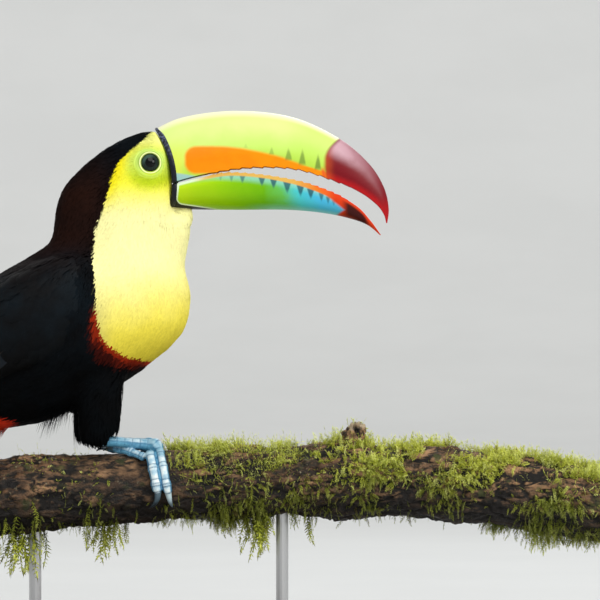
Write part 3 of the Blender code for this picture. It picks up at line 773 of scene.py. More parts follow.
def growFeathers(name, ground, zone, finishes):
    # feathers as one mesh: each springs from its root, lies along the skin and rises near its tip;
    # shading follows the skin more than each feather
    look = {**plainCoat, **coats[name]}
    spots, normals, uv = ground.scatter(zone, look["cell"])
    count = len(spots)
    way = lieAt(spots, normals, look["stray"])
    scale = featherSize(spots)
    # shorter and finer where the bib meets the darker plumage
    toEdge = np.abs(sideOf(spots[:, 0], spots[:, 2], markings["bibEdge"], markings["bibFar"]))
    fine = smoothStep(9, 2, toEdge)
    long = look["long"] * rng.uniform(0.8, 1.15, count) * scale * (1 - 0.35 * fine)
    wide = look["wide"] * rng.uniform(0.8, 1.2, count) * scale**0.75 * (1 - 0.25 * fine)
    high = look["lift"] * rng.uniform(0.8, 1.05, count) * skinDepth(spots)
    tip, tipUp = ground.settle(spots + way * long[:, None])
    # feathers that would fold over an edge are left out
    flat = ((normals * tipUp).sum(1) > 0.35) & (np.linalg.norm(tip - spots, axis=1) > long * 0.8)
    spots, normals, uv, way, long, wide, high, tip, tipUp = (
        part[flat] for part in (spots, normals, uv, way, long, wide, high, tip, tipUp))
    count = len(spots)
    middle, middleUp = ground.settle(spots + way * (long * 0.5)[:, None])
    root = spots - normals * look["sink"]
    middle = middle + middleUp * (high * 0.8)[:, None]
    tip = tip + tipUp * (high * look["droop"])[:, None]
    tip[:, 2] -= look["drape"] * rng.random(count)
    template, faces = look["shape"]
    u, across, thick = template.T
    spine = curved((root, middle, tip), ((1 - u) * (1 - 2 * u), 4 * u * (1 - u), u * (2 * u - 1)))
    heading = curved((root, middle, tip), (4 * u - 3, 4 - 8 * u, 4 * u - 1))
    skinUp = unit(curved((normals, tipUp), (1 - u, u)))
    side = unit(np.cross(heading, skinUp))
    up = np.cross(side, unit(heading))
    bend = rng.normal(0, 0.05, count) * long
    points = (spine + side * (across[None, :, None] * wide[:, None, None]
                              + (u**2)[None, :, None] * bend[:, None, None])
              + up * (thick[None] * wide[:, None])[..., None])
    corners = len(template)
    allFaces = (faces[None] + (np.arange(count) * corners)[:, None, None]).reshape(-1, 3)
    # colour is taken nearer the tip where the edge of the bib runs across the feathers
    shown = 0.12 + 0.45 * smoothStep(202, 180, spots[:, 2]) + rng.uniform(0, 0.3, count)
    marks = markingsAt(spots + (tip - spots) * shown[:, None], look["ragged"])
    values = {key: np.repeat(value, corners) for key, value in marks.items()}
    # each feather's random tone darkens towards its root, painted shade under the feathers that overlap it
    values["tone"] = np.repeat(rng.random(count), corners) * (0.6 + 0.4 * np.tile(u, count))
    aside = across / np.abs(across).max()
    bakeUv = (uv[:, None] + bakePatch(aside, u)).reshape(-1, 2)
    piece = buildPiece(name, points.reshape(-1, 3), allFaces, finishes[look["finish"]], True, values,
                       bakeUv)
    shading = unit(skinUp + side * (aside * look["roundness"])[None, :, None] + up * 0.2)
    piece.data.normals_split_custom_set_from_vertices(shading.reshape(-1, 3).tolist())
    place(piece)
    print(name, count, "feathers", len(allFaces), "triangles")


def bakePatch(aside, share):
    # each feather's own small patch of the bake's map
    return np.stack([aside / 2, share - 0.5], -1) * 0.003


def wingArea(x, z):
    # side view of the folded wing
    return sideOf(x, z, markings["wingEdge"], markings["wingFar"]) > 0


def growCoat(ground):
    # where each part of the coat grows; the wing's coverts come last, over the rest
    x, y, z = ground.middle.T
    marks = markingsAt(ground.middle)
    eyeX, eyeZ = markings["eye"]
    rimX, rimZ, rimRadius = skinShape["rim"]
    atRim = (np.hypot(x - rimX, z - rimZ) > rimRadius - 1.6) & (z > 260.0) & (x > 0)
    bare = ((np.hypot(x - eyeX, z - eyeZ) < markings["bareSkin"]) & (np.abs(y) > 4)) | atRim
    thigh = (z < 152) & (x > -32) & (x < 12) & (z < 150 - (x + 10) * 0.3)
    face = (featherSize(ground.middle) < 0.62) & (z > 236) & ~bare
    bib = (marks["bib"] > 0.5) & ~face & ~bare
    rump = marks["rump"] > 0.4
    vent = marks["vent"] > 0.4
    rest = ~(bare | face | bib | rump | vent | thigh)
    sideways = np.abs(ground.normals[ground.triangles].mean(1)[:, 1]) > 0.5
    wing = rest & (np.abs(y) > 14) & (x < -24) & (x > -128) & sideways & wingArea(x, z)
    nape = rest & (z > 232) & (x < 30)
    tip = rest & (x < -100) & (np.abs(y) > 13.5) & ~wing
    back = rest & ~nape & ~wing & (z > 190 + (x + 60) * 0.45) & (x < -20) & ~tip
    under = rest & ~nape & ~back & ~wing & ~tip
    flank = (under | thigh) & (x > -38) & (x < -24) & (z < 150) & (z > 138) & (np.abs(y) > 5)
    zones = {"faceFeathers": face, "throatFeathers": bib & (z > 215), "breastFeathers": bib & (z <= 215),
             "napeFeathers": nape, "backFeathers": back, "underFeathers": under, "wingTipFeathers": tip,
             "thighFeathers": thigh, "rumpFeathers": rump & ~wing, "ventFeathers": vent,
             "flankWisps": flank, "wingCoverts": wing}
    finishes = {"matt": plumageFinish("plumage", 0.7), "gloss": plumageFinish("glossyPlumage", 0.5, 0.06)}
    for name, zone in zones.items():
        growFeathers(name, ground, zone, finishes)


# each row: ridge or keel x, z, cutting edge x, z, and half width, from the base to the tip
bill = {
    "upper": {"rows": ((14.0, 300.3, 22.0, 270.4, 15.8), (34.0, 310.1, 42.9, 276.5, 15.8),
                       (64.6, 314.2, 70.0, 281.6, 14.2), (97.1, 310.8, 98.0, 281.3, 11.6),
                       (124.3, 298.6, 121.5, 274.5, 8.9), (140.8, 284.8, 136.5, 267.4, 6.3),
                       (149.4, 271.6, 145.5, 260.6, 4.0), (152.4, 259.5, 149.4, 255.2, 2.0),
                       (151.6, 250.6, 150.9, 250.6, 0.4)),
              "toothPitch": 6.4, "toothDepth": 0.75, "hollow": 5.0},
    "lower": {"rows": ((24.0, 258.9, 22.0, 269.9, 14.8), (42.9, 258.3, 42.9, 275.6, 14.8),
                       (66.0, 258.1, 64.6, 279.1, 13.2), (95.0, 258.1, 97.1, 275.3, 10.4),
                       (116.0, 256.2, 119.2, 268.6, 7.6), (131.0, 253.0, 134.1, 260.6, 5.0),
                       (140.5, 249.4, 142.0, 252.4, 2.8), (147.5, 243.7, 148.0, 243.9, 0.4)),
              "toothPitch": 4.6, "toothDepth": 0.65, "hollow": 4.0},
    "rings": 300, "sidePoints": 30, "hollowPoints": 7, "wall": 1.3, "toothed": (46.0, 133.0),
    "behindRim": 0.15, "rimWidth": 2.7, "rimHeight": 0.6, "rimSink": 0.8,
}


def billWidth(half, rise):
    # half width of the section at a share of its height, fullest low down and drawn in at the edge
    return half * (1 - rise**2.3) ** 0.6 * (0.94 + 0.06 * np.minimum(1, rise / 0.25))


def billHalf(name, half, finish, replaced):
    # ridge first, then the cutting edge and the hollow; mirrored for the left side
    rimX, rimZ, rimRadius = skinShape["rim"]
    rows = half["rows"]
    numbers = along(rows, np.linspace(0, len(rows) - 1, bill["rings"]))
    ridge, edge, halfWidth = numbers[:, :2], numbers[:, 2:4], numbers[:, 4]
    height = np.linalg.norm(ridge - edge, axis=1)
    # saw teeth along the cutting edge: each rises slowly and falls back steeply
    first, last = bill["toothed"]
    saw = ((lineLengths(edge) + edge[0, 0]) / half["toothPitch"]) % 1.0
    saw = np.where(saw < 0.85, saw / 0.85, (1 - saw) / 0.15)
    saw *= smoothStep(first, first + 12, edge[:, 0]) * smoothStep(last, last - 10, edge[:, 0])
    notch = half["toothDepth"] * (0.5 - saw) / np.maximum(height, 1)
    # outside of one side, its lip, and the hollow
    share = np.cos(np.linspace(0, math.pi / 2, bill["sidePoints"])) ** 1.15
    width = billWidth(halfWidth[:, None], share[None])
    lip = width[:, -1] - np.minimum(bill["wall"], halfWidth * 0.4)
    depth = np.minimum(half["hollow"], height * 0.3) / height
    turn = np.linspace(0, 1, bill["hollowPoints"])[1:] * math.pi / 2
    edgeFall = np.exp(-((share / 0.05) ** 2))[None] * notch[:, None]
    rises = np.concatenate([share[None] + edgeFall, (0.01 + notch)[:, None],
                            depth[:, None] * np.sin(turn)[None]], 1)
    widths = np.concatenate([width, lip[:, None], lip[:, None] * np.cos(turn)[None]], 1)
    across = np.concatenate([-widths, widths[:, -2:0:-1]], 1)
    risen = np.concatenate([rises, rises[:, -2:0:-1]], 1)
    flat = edge[:, None] + (ridge - edge)[:, None] * risen[..., None]
    points = np.stack([flat[..., 0], across, flat[..., 1]], -1)
    around = points.shape[1]
    # behind the rim the section is held on the rim's arc, which closes the back
    fromRim = np.hypot(points[..., 0] - rimX, points[..., 2] - rimZ)
    arc = rimRadius + bill["behindRim"]
    for column in range(around):
        inside = np.nonzero(fromRim[:, column] < arc)[0]
        if len(inside):
            i = inside[-1] + 1
            before, after = fromRim[i - 1, column], fromRim[i, column]
            part = (arc - before) / (after - before)
            points[:i, column] = points[i - 1, column] + (points[i, column] - points[i - 1, column]) * part
    columns = np.arange(around)
    hollow = (columns > len(share)) & (columns < around - len(share))
    inner = hollow[None] * smoothStep(1.5, 4.0, halfWidth)[:, None]
    values = {"fromEdge": (risen * height[:, None]).ravel(), "rise": risen.ravel(), "inner": inner.ravel()}
    faces = gridFaces(*points.shape[:2], True)
    piece = buildPiece(name, points.reshape(-1, 3), faces, finish, True, values)
    outward(piece, weld=0.004, close=True)
    piece.data.set_sharp_from_angle(angle=math.radians(50))
    place(piece, replaced)


billColours = {
    "lime": (0.56, 0.80, 0.15), "litTopLime": (0.70, 0.86, 0.25), "low": (0.46, 0.72, 0.07),
    "ridge": (0.95, 0.95, 0.60), "orange": (0.96, 0.29, 0.0), "deepOrange": (0.90, 0.235, 0.0),
    "maroon": (0.18, 0.005, 0.010), "reflectedSky": (0.57, 0.35, 0.40), "tipRed": (0.46, 0.006, 0.008),
    "rimLime": (0.72, 0.80, 0.09), "slate": (0.085, 0.15, 0.03), "gapeBlue": (0.33, 0.56, 0.52),
    "cyan": (0.27, 0.62, 0.50), "keelGreen": (0.04, 0.17, 0.0), "edgeOrange": (0.71, 0.42, 0.085),
    "edgeFlame": (0.77, 0.18, 0.012), "edgeTip": (0.68, 0.045, 0.008), "edgeRed": (0.80, 0.13, 0.015),
    "flame": (0.70, 0.045, 0.006), "darkMaroon": (0.055, 0.005, 0.004), "keelRed": (0.28, 0.03, 0.006),
    "slateBlue": (0.02, 0.10, 0.13), "highlightLine": (0.74, 0.88, 0.66), "inside": (0.05, 0.012, 0.012),
    "black": (0.005, 0.006, 0.009), "rimBlack": (0.004, 0.005, 0.008), "rimHighlightBlue": (0.10, 0.12, 0.20),
    # along the lower half, from green through blue
    "lower": ((0.04, (0.47, 0.71, 0.005)), (0.25, (0.31, 0.62, 0.0)), (0.47, (0.16, 0.49, 0.0)),
              (0.57, (0.14, 0.55, 0.09)), (0.69, (0.07, 0.60, 0.62)), (0.81, (0.065, 0.52, 0.80)),
              (0.93, (0.09, 0.46, 0.70))),
}
# dark wedges: place, height of the base, signed height, half width and strength
wedgeRows = {
    "upper": ((71.5, 293.0, 3.0, 1.0, 0.2), (86.0, 289.4, 4.6, 1.5, 0.4), (95.6, 286.4, 7.4, 1.9, 0.58),
              (103.4, 283.9, 9.6, 2.0, 0.62), (112.4, 281.2, 9.4, 1.9, 0.7)),
    "lower": ((57.3, 277.0, -3.4, 1.0, 0.35), (63.4, 277.5, -4.6, 1.3, 0.5), (69.6, 277.7, -5.6, 1.8, 0.7),
              (80.6, 276.9, -6.4, 2.2, 0.85), (87.2, 276.0, -7.0, 2.3, 0.88),
              (94.9, 274.2, -8.0, 2.5, 0.86), (102.4, 272.0, -7.4, 2.3, 0.88),
              (108.2, 270.0, -6.8, 2.2, 0.88), (114.2, 267.6, -5.6, 1.6, 0.75),
              (118.0, 265.4, -4.8, 1.3, 0.7), (121.2, 263.2, -3.6, 1.0, 0.5)),
}


def wedges(x, z, rows):
    # soft wedges, which overlap without adding up
    total = None
    for at, base, height, half, strength in rows:
        share = (z - base) / height
        body = ((1.0 - share).most(0.0) * half - (x - at).size()).step(-0.5, 0.6)
        mark = body * share.step(-0.18, 0.1) * share.step(1.05, 0.5) * strength
        total = mark if total is None else total.most(mark)
    return total


def finishHorn(horn, colour):
    # what both halves share: the dark hollow, and a fine grain under a gloss
    fine = horn.noise(0.6, 3.0, (0.25, 1, 1))
    horn.paint(horn.value("inner").mix(colour, billColours["inside"]), fine * 0.14 + 0.24)
    horn.bump(fine + horn.noise(0.1, 3.0) * 2.5, 0.16, 0.14)
    return horn.material


def upperBillFinish():
    tone = billColours
    horn = Finish("upperBillHorn", {"Specular IOR Level": 0.16})
    x, _, z = horn.place().parts()
    rise, fromEdge = horn.value("rise"), horn.value("fromEdge")
    soft = horn.noise(0.08, 3.0)
    wander = (soft - 0.5) * 3.0
    # lighter lime towards the ridge is a painted highlight of the light from above
    colour = (rise + wander * 0.12).step(0.35, 0.85).mix(tone["lime"], tone["litTopLime"])
    colour = (fromEdge + wander * 2.0).step(13.0, 3.0).mix(colour, tone["low"])
    nearRim = (x - (z - 272.0) * 0.22 + wander).step(38.0, 31.0) * z.step(302.0, 284.0) * 0.8
    colour = nearRim.mix(colour, tone["rimLime"])
    colour = (x.step(88.0, 112.0) * 0.45).mix(colour, tone["low"])
    # cream line along the ridge: painted highlight
    colour = rise.step(0.86, 1.0).mix(colour, tone["ridge"])
    # orange patch with rounded corners, drawn out along the cutting edge
    radius = 6.2
    top = 293.8 - ((x - 52.0).most(0.0) ** 2) * 0.0039
    corners = [(radius - part).most(0.0) for part in (x - 37.2, top - z, z - 278.1)]
    patch = radius - (corners[0] ** 2 + corners[1] ** 2 + corners[2] ** 2) ** 0.5
    patch = (patch + wander * 0.3).step(-1.1, 1.3)
    strip = (fromEdge + wander * 0.2).step(3.6, 2.2) * x.step(86.0, 96.0)
    orange = (soft.step(0.35, 0.7) * 0.6 + x.step(95.0, 45.0) * 0.4).mix(tone["orange"], tone["deepOrange"])
    colour = patch.most(strip).mix(colour, orange)
    gape = (43.8 - x - fromEdge * 2.4).step(-1.6, 1.6)
    colour = gape.mix(colour, tone["gapeBlue"])
    colour = wedges(x + wander * 0.4, z, wedgeRows["upper"]).mix(colour, tone["slate"])
    # dark tip, with a painted sheen, the sky's reflection, that lies along the ridge and thins out towards
    # the end
    border = x + wander * 0.3 - (z - 286.0).most(0.0) ** 2 * 0.052 - (281.0 - z).most(0.0) * 0.12 - 116.4
    sheen = (rise + wander * 0.06).step(0.42, 0.78) * rise.step(1.2, 0.86) * x.step(152.0, 122.0)
    sheen = sheen * border.step(-1.0, 3.5) * (soft.step(0.2, 0.6) * 0.3 + 0.7)
    tip = sheen.mix(tone["maroon"], tone["reflectedSky"])
    reddened = ((fromEdge + wander * 0.6).step(5.0, 0.8) * 0.85).most(z.step(268.0, 256.0) * 0.7)
    tip = reddened.mix(tip, tone["tipRed"])
    tip = ((border + wander).step(7.0, 0.5) * rise.step(0.85, 0.35) * 0.36).mix(tip, tone["edgeRed"])
    colour = border.step(-1.6, 1.1).mix(colour, tip)
    colour = ((border + 1.2).size().step(1.8, 0.2) * fromEdge.step(6.0, 2.5)).mix(colour, tone["edgeRed"])
    return finishHorn(horn, colour)


def lowerBillFinish():
    tone = billColours
    horn = Finish("lowerBillHorn", {"Specular IOR Level": 0.16})
    x, _, z = horn.place().parts()
    rise, fromEdge = horn.value("rise"), horn.value("fromEdge")
    wander = (horn.noise(0.08, 3.0) - 0.5) * 3.0
    length = (x + wander * 5.0 - fromEdge * 0.35 - 30.0) / 100.0
    colour = horn.wire.make("ValToRGB", 0, {"stops": tone["lower"]}, {0: length})
    strip = (fromEdge + wander * 0.4 - x.step(45.0, 68.0) * 2.6).step(3.8, 0.0) * x.step(32.0, 62.0)
    colour = (strip * 0.8).mix(colour, tone["cyan"])
    colour = (rise.step(0.5, 0.95) * 0.3).mix(colour, tone["keelGreen"])
    colour = (rise.step(0.78, 0.98) * x.step(68.0, 92.0) * 0.5).mix(colour, tone["cyan"])
    # the black of the rim runs out along the underside, with a painted highlight line inside its rounded
    # corner and along the cutting edge near the gape
    aboveBlack = z - (53.5 - x) * 0.14 - 258.4
    slope = (z - 264.0).most(0.0) * 0.12
    corner = ((35.4 + slope - x).most(0.0) ** 2 + (3.0 - aboveBlack).most(0.0) ** 2) ** 0.5
    black = corner.step(2.9, 3.2) * aboveBlack.step(4.4, 2.8) * x.step(60.0, 54.0)
    inRim = corner.step(2.1, 2.7) * x.step(60.0, 42.0)
    nearGape = (fromEdge + wander * 0.15).step(2.2, 1.2) * x.step(66.0, 46.0)
    colour = (nearGape.most(inRim) * 0.9).mix(colour, tone["highlightLine"])
    colour = wedges(x, z, wedgeRows["lower"]).mix(colour, tone["slateBlue"])
    # bright line along the cutting edge
    edge = x.step(94.0, 115.0).mix(tone["edgeOrange"], tone["edgeFlame"])
    edge = x.step(113.0, 124.0).mix(edge, tone["edgeTip"])
    reach = (x - 84.0).most(0.0) * 0.04 + 2.0
    colour = ((reach - fromEdge).step(-0.4, 0.5) * x.step(40.0, 52.0)).mix(colour, edge)
    # red tip, which starts in a slanted corner
    slant = (x - 113.6) * 0.631 + (z - 268.9) * 0.776 + wander * 0.3
    under = (x - 127.0) * 0.574 - (z - 258.0) * 0.82 + wander * 0.3
    tip = (x + wander).step(115.0, 123.0).mix(tone["edgeRed"], tone["flame"])
    dark = (fromEdge + wander * 0.4).step(0.9, 2.6) * (x + wander).step(124.5, 130.0) * x.step(143.0, 138.5)
    tip = dark.mix(tip, tone["darkMaroon"])
    tip = (rise.step(0.7, 1.0) * x.step(137.0, 130.0) * 0.7).mix(tip, tone["keelRed"])
    colour = slant.most(under).step(-0.9, 0.9).mix(colour, tip)
    return finishHorn(horn, black.mix(colour, tone["black"]))


def billRim(name, rows, finish):
    # raised black band round the base of one half of the bill
    rimX, rimZ, rimRadius = skinShape["rim"]
    numbers = along(rows, np.linspace(0, 3.0, 400))
    bands = np.linspace(-0.35, bill["rimWidth"], 12)
    grid = []
    for rise in np.linspace(0, 1, 40) ** 0.8:
        width = billWidth(numbers[:, 4], rise)
        flat = numbers[:, 2:4] + (numbers[:, :2] - numbers[:, 2:4]) * rise
        reach = np.hypot(flat[:, 0] - rimX, flat[:, 1] - rimZ) - rimRadius
        taper = 1 - 0.4 * smoothStep(0.8, 1.0, rise)
        grid.append([[np.interp(band * taper, reach, part) for part in (flat[:, 0], width, flat[:, 1])]
                     for band in bands])
    grid = np.array(grid)
    grid = np.concatenate([grid * (1, -1, 1), grid[-2::-1]])
    normal = unit(np.cross(np.gradient(grid, axis=0), np.gradient(grid, axis=1)))
    normal *= np.sign(((grid - grid.mean((0, 1))) * normal).sum(-1).mean())
    bulge = np.sin(np.linspace(0, 1, len(bands)) * math.pi) ** 0.55 * bill["rimHeight"]
    top = grid + normal * (bulge - 0.05)[None, :, None]
    low = grid - normal * bill["rimSink"]
    points = np.concatenate([top, low[:, ::-1]], 1)
    piece = buildPiece(name, points.reshape(-1, 3), gridFaces(*points.shape[:2], True), finish)
    outward(piece, close=True)
    place(piece)


def rimFinish():
    # black, with a painted dull blue highlight near the forehead
    black = Finish("rimHorn", {"Specular IOR Level": 0.2})
    blotches = black.noise(0.7, 4.0)
    _, _, z = black.place().parts()
    bluish = blotches.step(0.4, 0.7) * z.step(282.0, 298.0) + 0.08 * blotches
    black.paint(bluish.mix(billColours["rimBlack"], billColours["rimHighlightBlue"]), blotches * 0.3 + 0.2)
    black.bump(blotches, 0.2, 0.15)
    return black.material


def makeBill():
    billHalf("billUpper", bill["upper"], upperBillFinish(), ["bill_upper"])
    billHalf("billLower", bill["lower"], lowerBillFinish(), ["bill_lower"])
    black = rimFinish()
    billRim("billRimUpper", bill["upper"]["rows"], black)
    billRim("billRimLower", bill["lower"]["rows"], black)


# the bare ring's wrinkles: distance from the axis, half width, colour and strength
eye = {
    "radius": 6.4, "cornea": 0.35, "opening": 4.85, "pupil": 2.75, "tilt": (0.10, 0.10), "lidEdge": 4.65,
    "ringReach": 10.8, "beadsAt": 5.95, "beads": 44, "around": 264, "bands": 34, "ringThickness": 1.2,
    "iris": ((0.005, 0.010, 0.008), (0.014, 0.027, 0.020)), "irisLit": (0.07, 0.14, 0.11),
    "irisRim": (0.006, 0.010, 0.007), "pupilBlack": (0.0008, 0.001, 0.001),
    "ringGreen": (0.60, 0.80, 0.17), "lidDark": (0.07, 0.12, 0.02), "ringPale": (0.80, 0.9, 0.3),
    "wrinkles": ((5.95, 0.34, (0.95, 0.97, 0.45), 1.0), (6.6, 0.3, (0.30, 0.52, 0.03), 0.7),
                 (7.9, 0.3, (0.38, 0.60, 0.03), 0.55), (8.9, 0.3, (0.42, 0.62, 0.03), 0.3)),
}


def eyeFinish():
    wet = Finish("eyeBall", {"Roughness": 0.03, "Specular IOR Level": 0.22, "Coat Weight": 0.0})
    out, turn = wet.value("fromAxis"), wet.value("aroundAxis")
    x, _, z = wet.place().parts()
    eyeX, eyeZ = markings["eye"]
    spokes = wet.wire.make("CombineXYZ", 0, None, {0: turn * 9.0, 1: out * 0.35})
    strands = wet.wire.make("TexNoise", 0, None, {"Vector": spokes, "Scale": 1.6, "Detail": 3.0})
    iris = strands.step(0.3, 0.7).mix(*eye["iris"])
    # a painted reflection lightens the iris at its upper left
    lit = (z - eyeZ - (x - eyeX) * 0.8).step(0.5, 5.0)
    iris = (lit * 0.6).mix(iris, eye["irisLit"])
    iris = out.step(4.0, 5.0).mix(iris, eye["irisRim"])
    wet.paint(out.step(eye["pupil"] + 0.2, eye["pupil"] - 0.15).mix(iris, eye["pupilBlack"]))
    return wet.material


def bareFinish():
    bareSkin = Finish("eyeRingSkin", {"Specular IOR Level": 0.35})
    out = bareSkin.value("fromAxis")
    soft = bareSkin.noise(0.5, 3.0)
    _, _, z = bareSkin.place().parts()
    # the skin below the eye is painted darker green as shade
    shadeBelowEye = z.step(288.0, 273.0)
    plumes = shadeBelowEye.mix(plumageTones["eyeGreen"], plumageTones["shadedGreen"])
    colour = out.step(7.4, 9.6).mix(eye["ringGreen"], plumes)
    colour = shadeBelowEye.mix(colour, plumageTones["shadedGreen"])
    colour = out.step(5.1, 5.6).mix(eye["lidDark"], colour)
    for middle, half, tint, strength in eye["wrinkles"]:
        line = (out - middle).size().step(half + 0.15, half - 0.15)
        colour = (line * strength).mix(colour, tint)
    colour = (soft.step(0.5, 0.8) * 0.25).mix(colour, eye["ringPale"])
    bareSkin.paint(colour, soft * 0.2 + 0.4)
    bareSkin.bump(bareSkin.noise(1.6, 3.0), 0.3, 0.12)
    return bareSkin.material


def makeEyes(ground):
    # returns the eye rings, which join the skin
    ballFinish, ringFinish = eyeFinish(), bareFinish()
    rings = []
    for side, sign in (("right", -1), ("left", 1)):
        low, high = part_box("eye_" + side)
        centre = np.array((low + high) / 2) / mm
        axis = unit(np.array([eye["tilt"][0], sign, eye["tilt"][1]]))
        first = unit(np.cross(axis, (0, 0, 1)))
        second = np.cross(first, axis)
        eyeBall(side, centre, axis, first, second, ballFinish)
        rings.append(eyeRing(side, centre, axis, first, second, ground, ringFinish))
    return rings


def eyeBall(side, centre, axis, first, second, finish):
    # ball with a slight bulge of the cornea
    turns = np.linspace(0, math.tau, 64, endpoint=False)
    tilts = np.linspace(0, math.pi, 40)[1:-1]
    reach = eye["radius"] + eye["cornea"] * np.exp(-((tilts / 0.55) ** 2))
    ball = ((np.cos(tilts) * reach)[:, None, None] * axis
            + (np.sin(tilts) * reach)[:, None, None] * ringPoints(turns, first, second))
    ends = np.array([axis * (eye["radius"] + eye["cornea"]), -axis * eye["radius"]])
    points = np.concatenate([ball.reshape(-1, 3), ends]) + centre
    rows, columns = ball.shape[:2]
    # the back of the ball counts as far from the axis
    out = np.sin(tilts) * eye["radius"] + (tilts > 1.57) * 20
    values = {"fromAxis": np.concatenate([np.repeat(out, columns), [0, 30]]),
              "aroundAxis": np.concatenate([np.tile(np.abs(np.sin(turns / 2)) * 3, rows), [0, 0]])}
    faces = [gridFaces(rows, columns, True), *capFaces(rows, columns)]
    piece = buildPiece("eye" + side.title(), points, faces, finish, True, values)
    outward(piece)
    place(piece, ["eye_" + side])


def eyeRing(side, centre, axis, first, second, ground, finish):
    # lid roll round the ball, a beaded edge, and creased bare skin that runs out under the feathers
    turns = np.linspace(0, math.tau, eye["around"], endpoint=False)
    out = np.concatenate([[eye["lidEdge"]], np.linspace(eye["opening"], eye["ringReach"], eye["bands"])])
    surface = np.full((len(out), len(turns)), 2.0)
    for i, reach in enumerate(out):
        for j, turn in enumerate(turns):
            start = centre + first * math.cos(turn) * reach + second * math.sin(turn) * reach
            hit = ground.tree.ray_cast(Vector(start + axis * 12), Vector(-axis), 30.0)
            if hit[0] is not None:
                surface[i, j] = 12 - hit[3]
    onBall = math.sqrt(eye["radius"] ** 2 - eye["opening"] ** 2)
    r = out[:, None]
    fromBeads = r - eye["beadsAt"]
    roll = onBall - 0.05 + 0.4 * smoothStep(4.85, 5.4, r) + 0.3 * np.exp(-((fromBeads / 0.34) ** 2))
    beads = 0.14 * np.exp(-((fromBeads / 0.26) ** 2)) * np.cos(turns * eye["beads"])[None]
    crease = 0.10 * np.cos((r - 6.9) * math.tau / 1.15 + 0.8 * np.sin(turns * 3 + 1)[None])
    crease = crease * smoothStep(6.3, 7.0, r) * (0.6 + 0.4 * np.sin(turns * 7 + r * 1.7))
    skinTop = surface + 0.34 * smoothStep(10.6, 8.2, r) - 0.5 * smoothStep(9.6, 10.8, r)
    blend = smoothStep(6.0, 8.0, r)
    height = (roll + beads) * (1 - blend) + (skinTop + crease) * blend
    height = np.where(r < 4.8, onBall - 0.9, height)
    points = centre + ringPoints(turns, first, second) * out[:, None, None] + axis * height[..., None]
    # the hidden underside has half as many rows
    both = np.concatenate([points, points[::-2] - axis * eye["ringThickness"]])
    values = {"fromAxis": np.repeat(np.concatenate([out, out[::-2]]), len(turns))}
    faces = gridFaces(len(both), len(turns), True)
    turn = np.arange(len(turns))
    after = (turn + 1) % len(turns)
    last = (len(both) - 1) * len(turns)
    seam = np.stack([last + turn, last + after, after, turn], 1)
    ring = buildPiece("eyeRing" + side.title(), both.reshape(-1, 3), np.concatenate([faces, seam]), finish,
                      True, values)
    outward(ring)
    return ring


# the branch's middle line falls away on both sides of its crest, by a square law
perch = {"ends": (-92.0, 281.0), "crest": (128.0, 104.6), "fall": (0.00024, 0.00072), "radius": 20.6,
         "stubAt": 129.0}
# start and end along the branch from the pad, start and end round it in degrees, radius, claw length
# and how far the claw swings aside
toes = {
    "toe_1_hind_inner": (-3.0, -11.0, 14.0, 8.5, 2.0, 5.5, 0.0),
    "toe_2_front_inner": (3.5, 8.6, 36.0, 101.0, 2.65, 10.0, 0.4),
    "toe_3_front_outer": (-1.9, 2.6, 42.0, 98.0, 2.95, 11.5, -7.5),
    "toe_4_hind_outer": (-6.2, -23.0, 42.0, 14.0, 2.3, 7.5, 0.0),
}
# plates are cut at shares of a toe's length, and joints are the places and heights of its knuckles
foot = {
    "ankle": (-8.0, 13.5, 127.6), "pad": (19.5, 24.0, 4.0), "knuckle": 4.9, "leftBack": 4.0,
    "plates": (0.03, 0.13, 0.37, 0.45, 0.70, 0.79, 0.84, 0.97),
    "joints": ((0.0, 0.14), (0.41, 0.17), (0.79, 0.19)), "shank": (2.9, 3.0, 2.6, 3.5, 3.3),
    "shankPlates": 9, "groove": 0.3, "raise": 0.22, "sink": 0.3, "gap": 0.3, "voxel": 0.53,
    "skinBlue": ((0.05, 0.20, 0.36), (0.16, 0.42, 0.60)), "pale": ((0.42, 0.62, 0.72), (0.82, 0.87, 0.84)),
    "shankBlue": (0.07, 0.29, 0.42), "grooveBlue": (0.02, 0.12, 0.24),
    "darkClaw": ((0.07, 0.12, 0.155), (0.006, 0.010, 0.014)),
    "glintClaw": ((0.52, 0.66, 0.70), (0.07, 0.11, 0.14)),
}


def branchCentre(x):
    crestX, crestZ = perch["crest"]
    fall = perch["fall"][0] if x < crestX else perch["fall"][1]
    wander = 2.2 * math.sin((x + 5.0) / 62.0) * min(1.0, abs(x - 8.0) / 60.0)
    return np.array([x, wander, crestZ - fall * (x - crestX) ** 2])


def branchRadius(x):
    leftEnd = 3.0 * min(1.0, max(0.0, (-25.0 - x) / 50.0))
    knot = 2.4 * math.exp(-(((x - perch["stubAt"]) / 13.0) ** 2))
    uneven = 0.8 * math.sin(x / 9.0) * min(1.0, max(0.0, (abs(x - 5.0) - 35.0) / 30.0))
    return perch["radius"] + leftEnd + knot + uneven


def onBranch(x, degrees, out):
    turn = math.radians(degrees)
    return branchCentre(x) + np.array([0, -math.sin(turn), math.cos(turn)]) * (branchRadius(x) + out)


def toePoint(measures, share, height, sign, back, shift=0.0):
    # point along a toe, at a height above the bark; sign mirrors it for the left foot
    startX, endX, startTurn, endTurn = measures[:4]
    x = foot["pad"][0] - back + startX + (endX - startX) * share + shift
    point = onBranch(x, startTurn + (endTurn - startTurn) * share, height)
    middle = branchCentre(x)[1]
    return np.array([x, middle + sign * (middle - point[1]), point[2]])


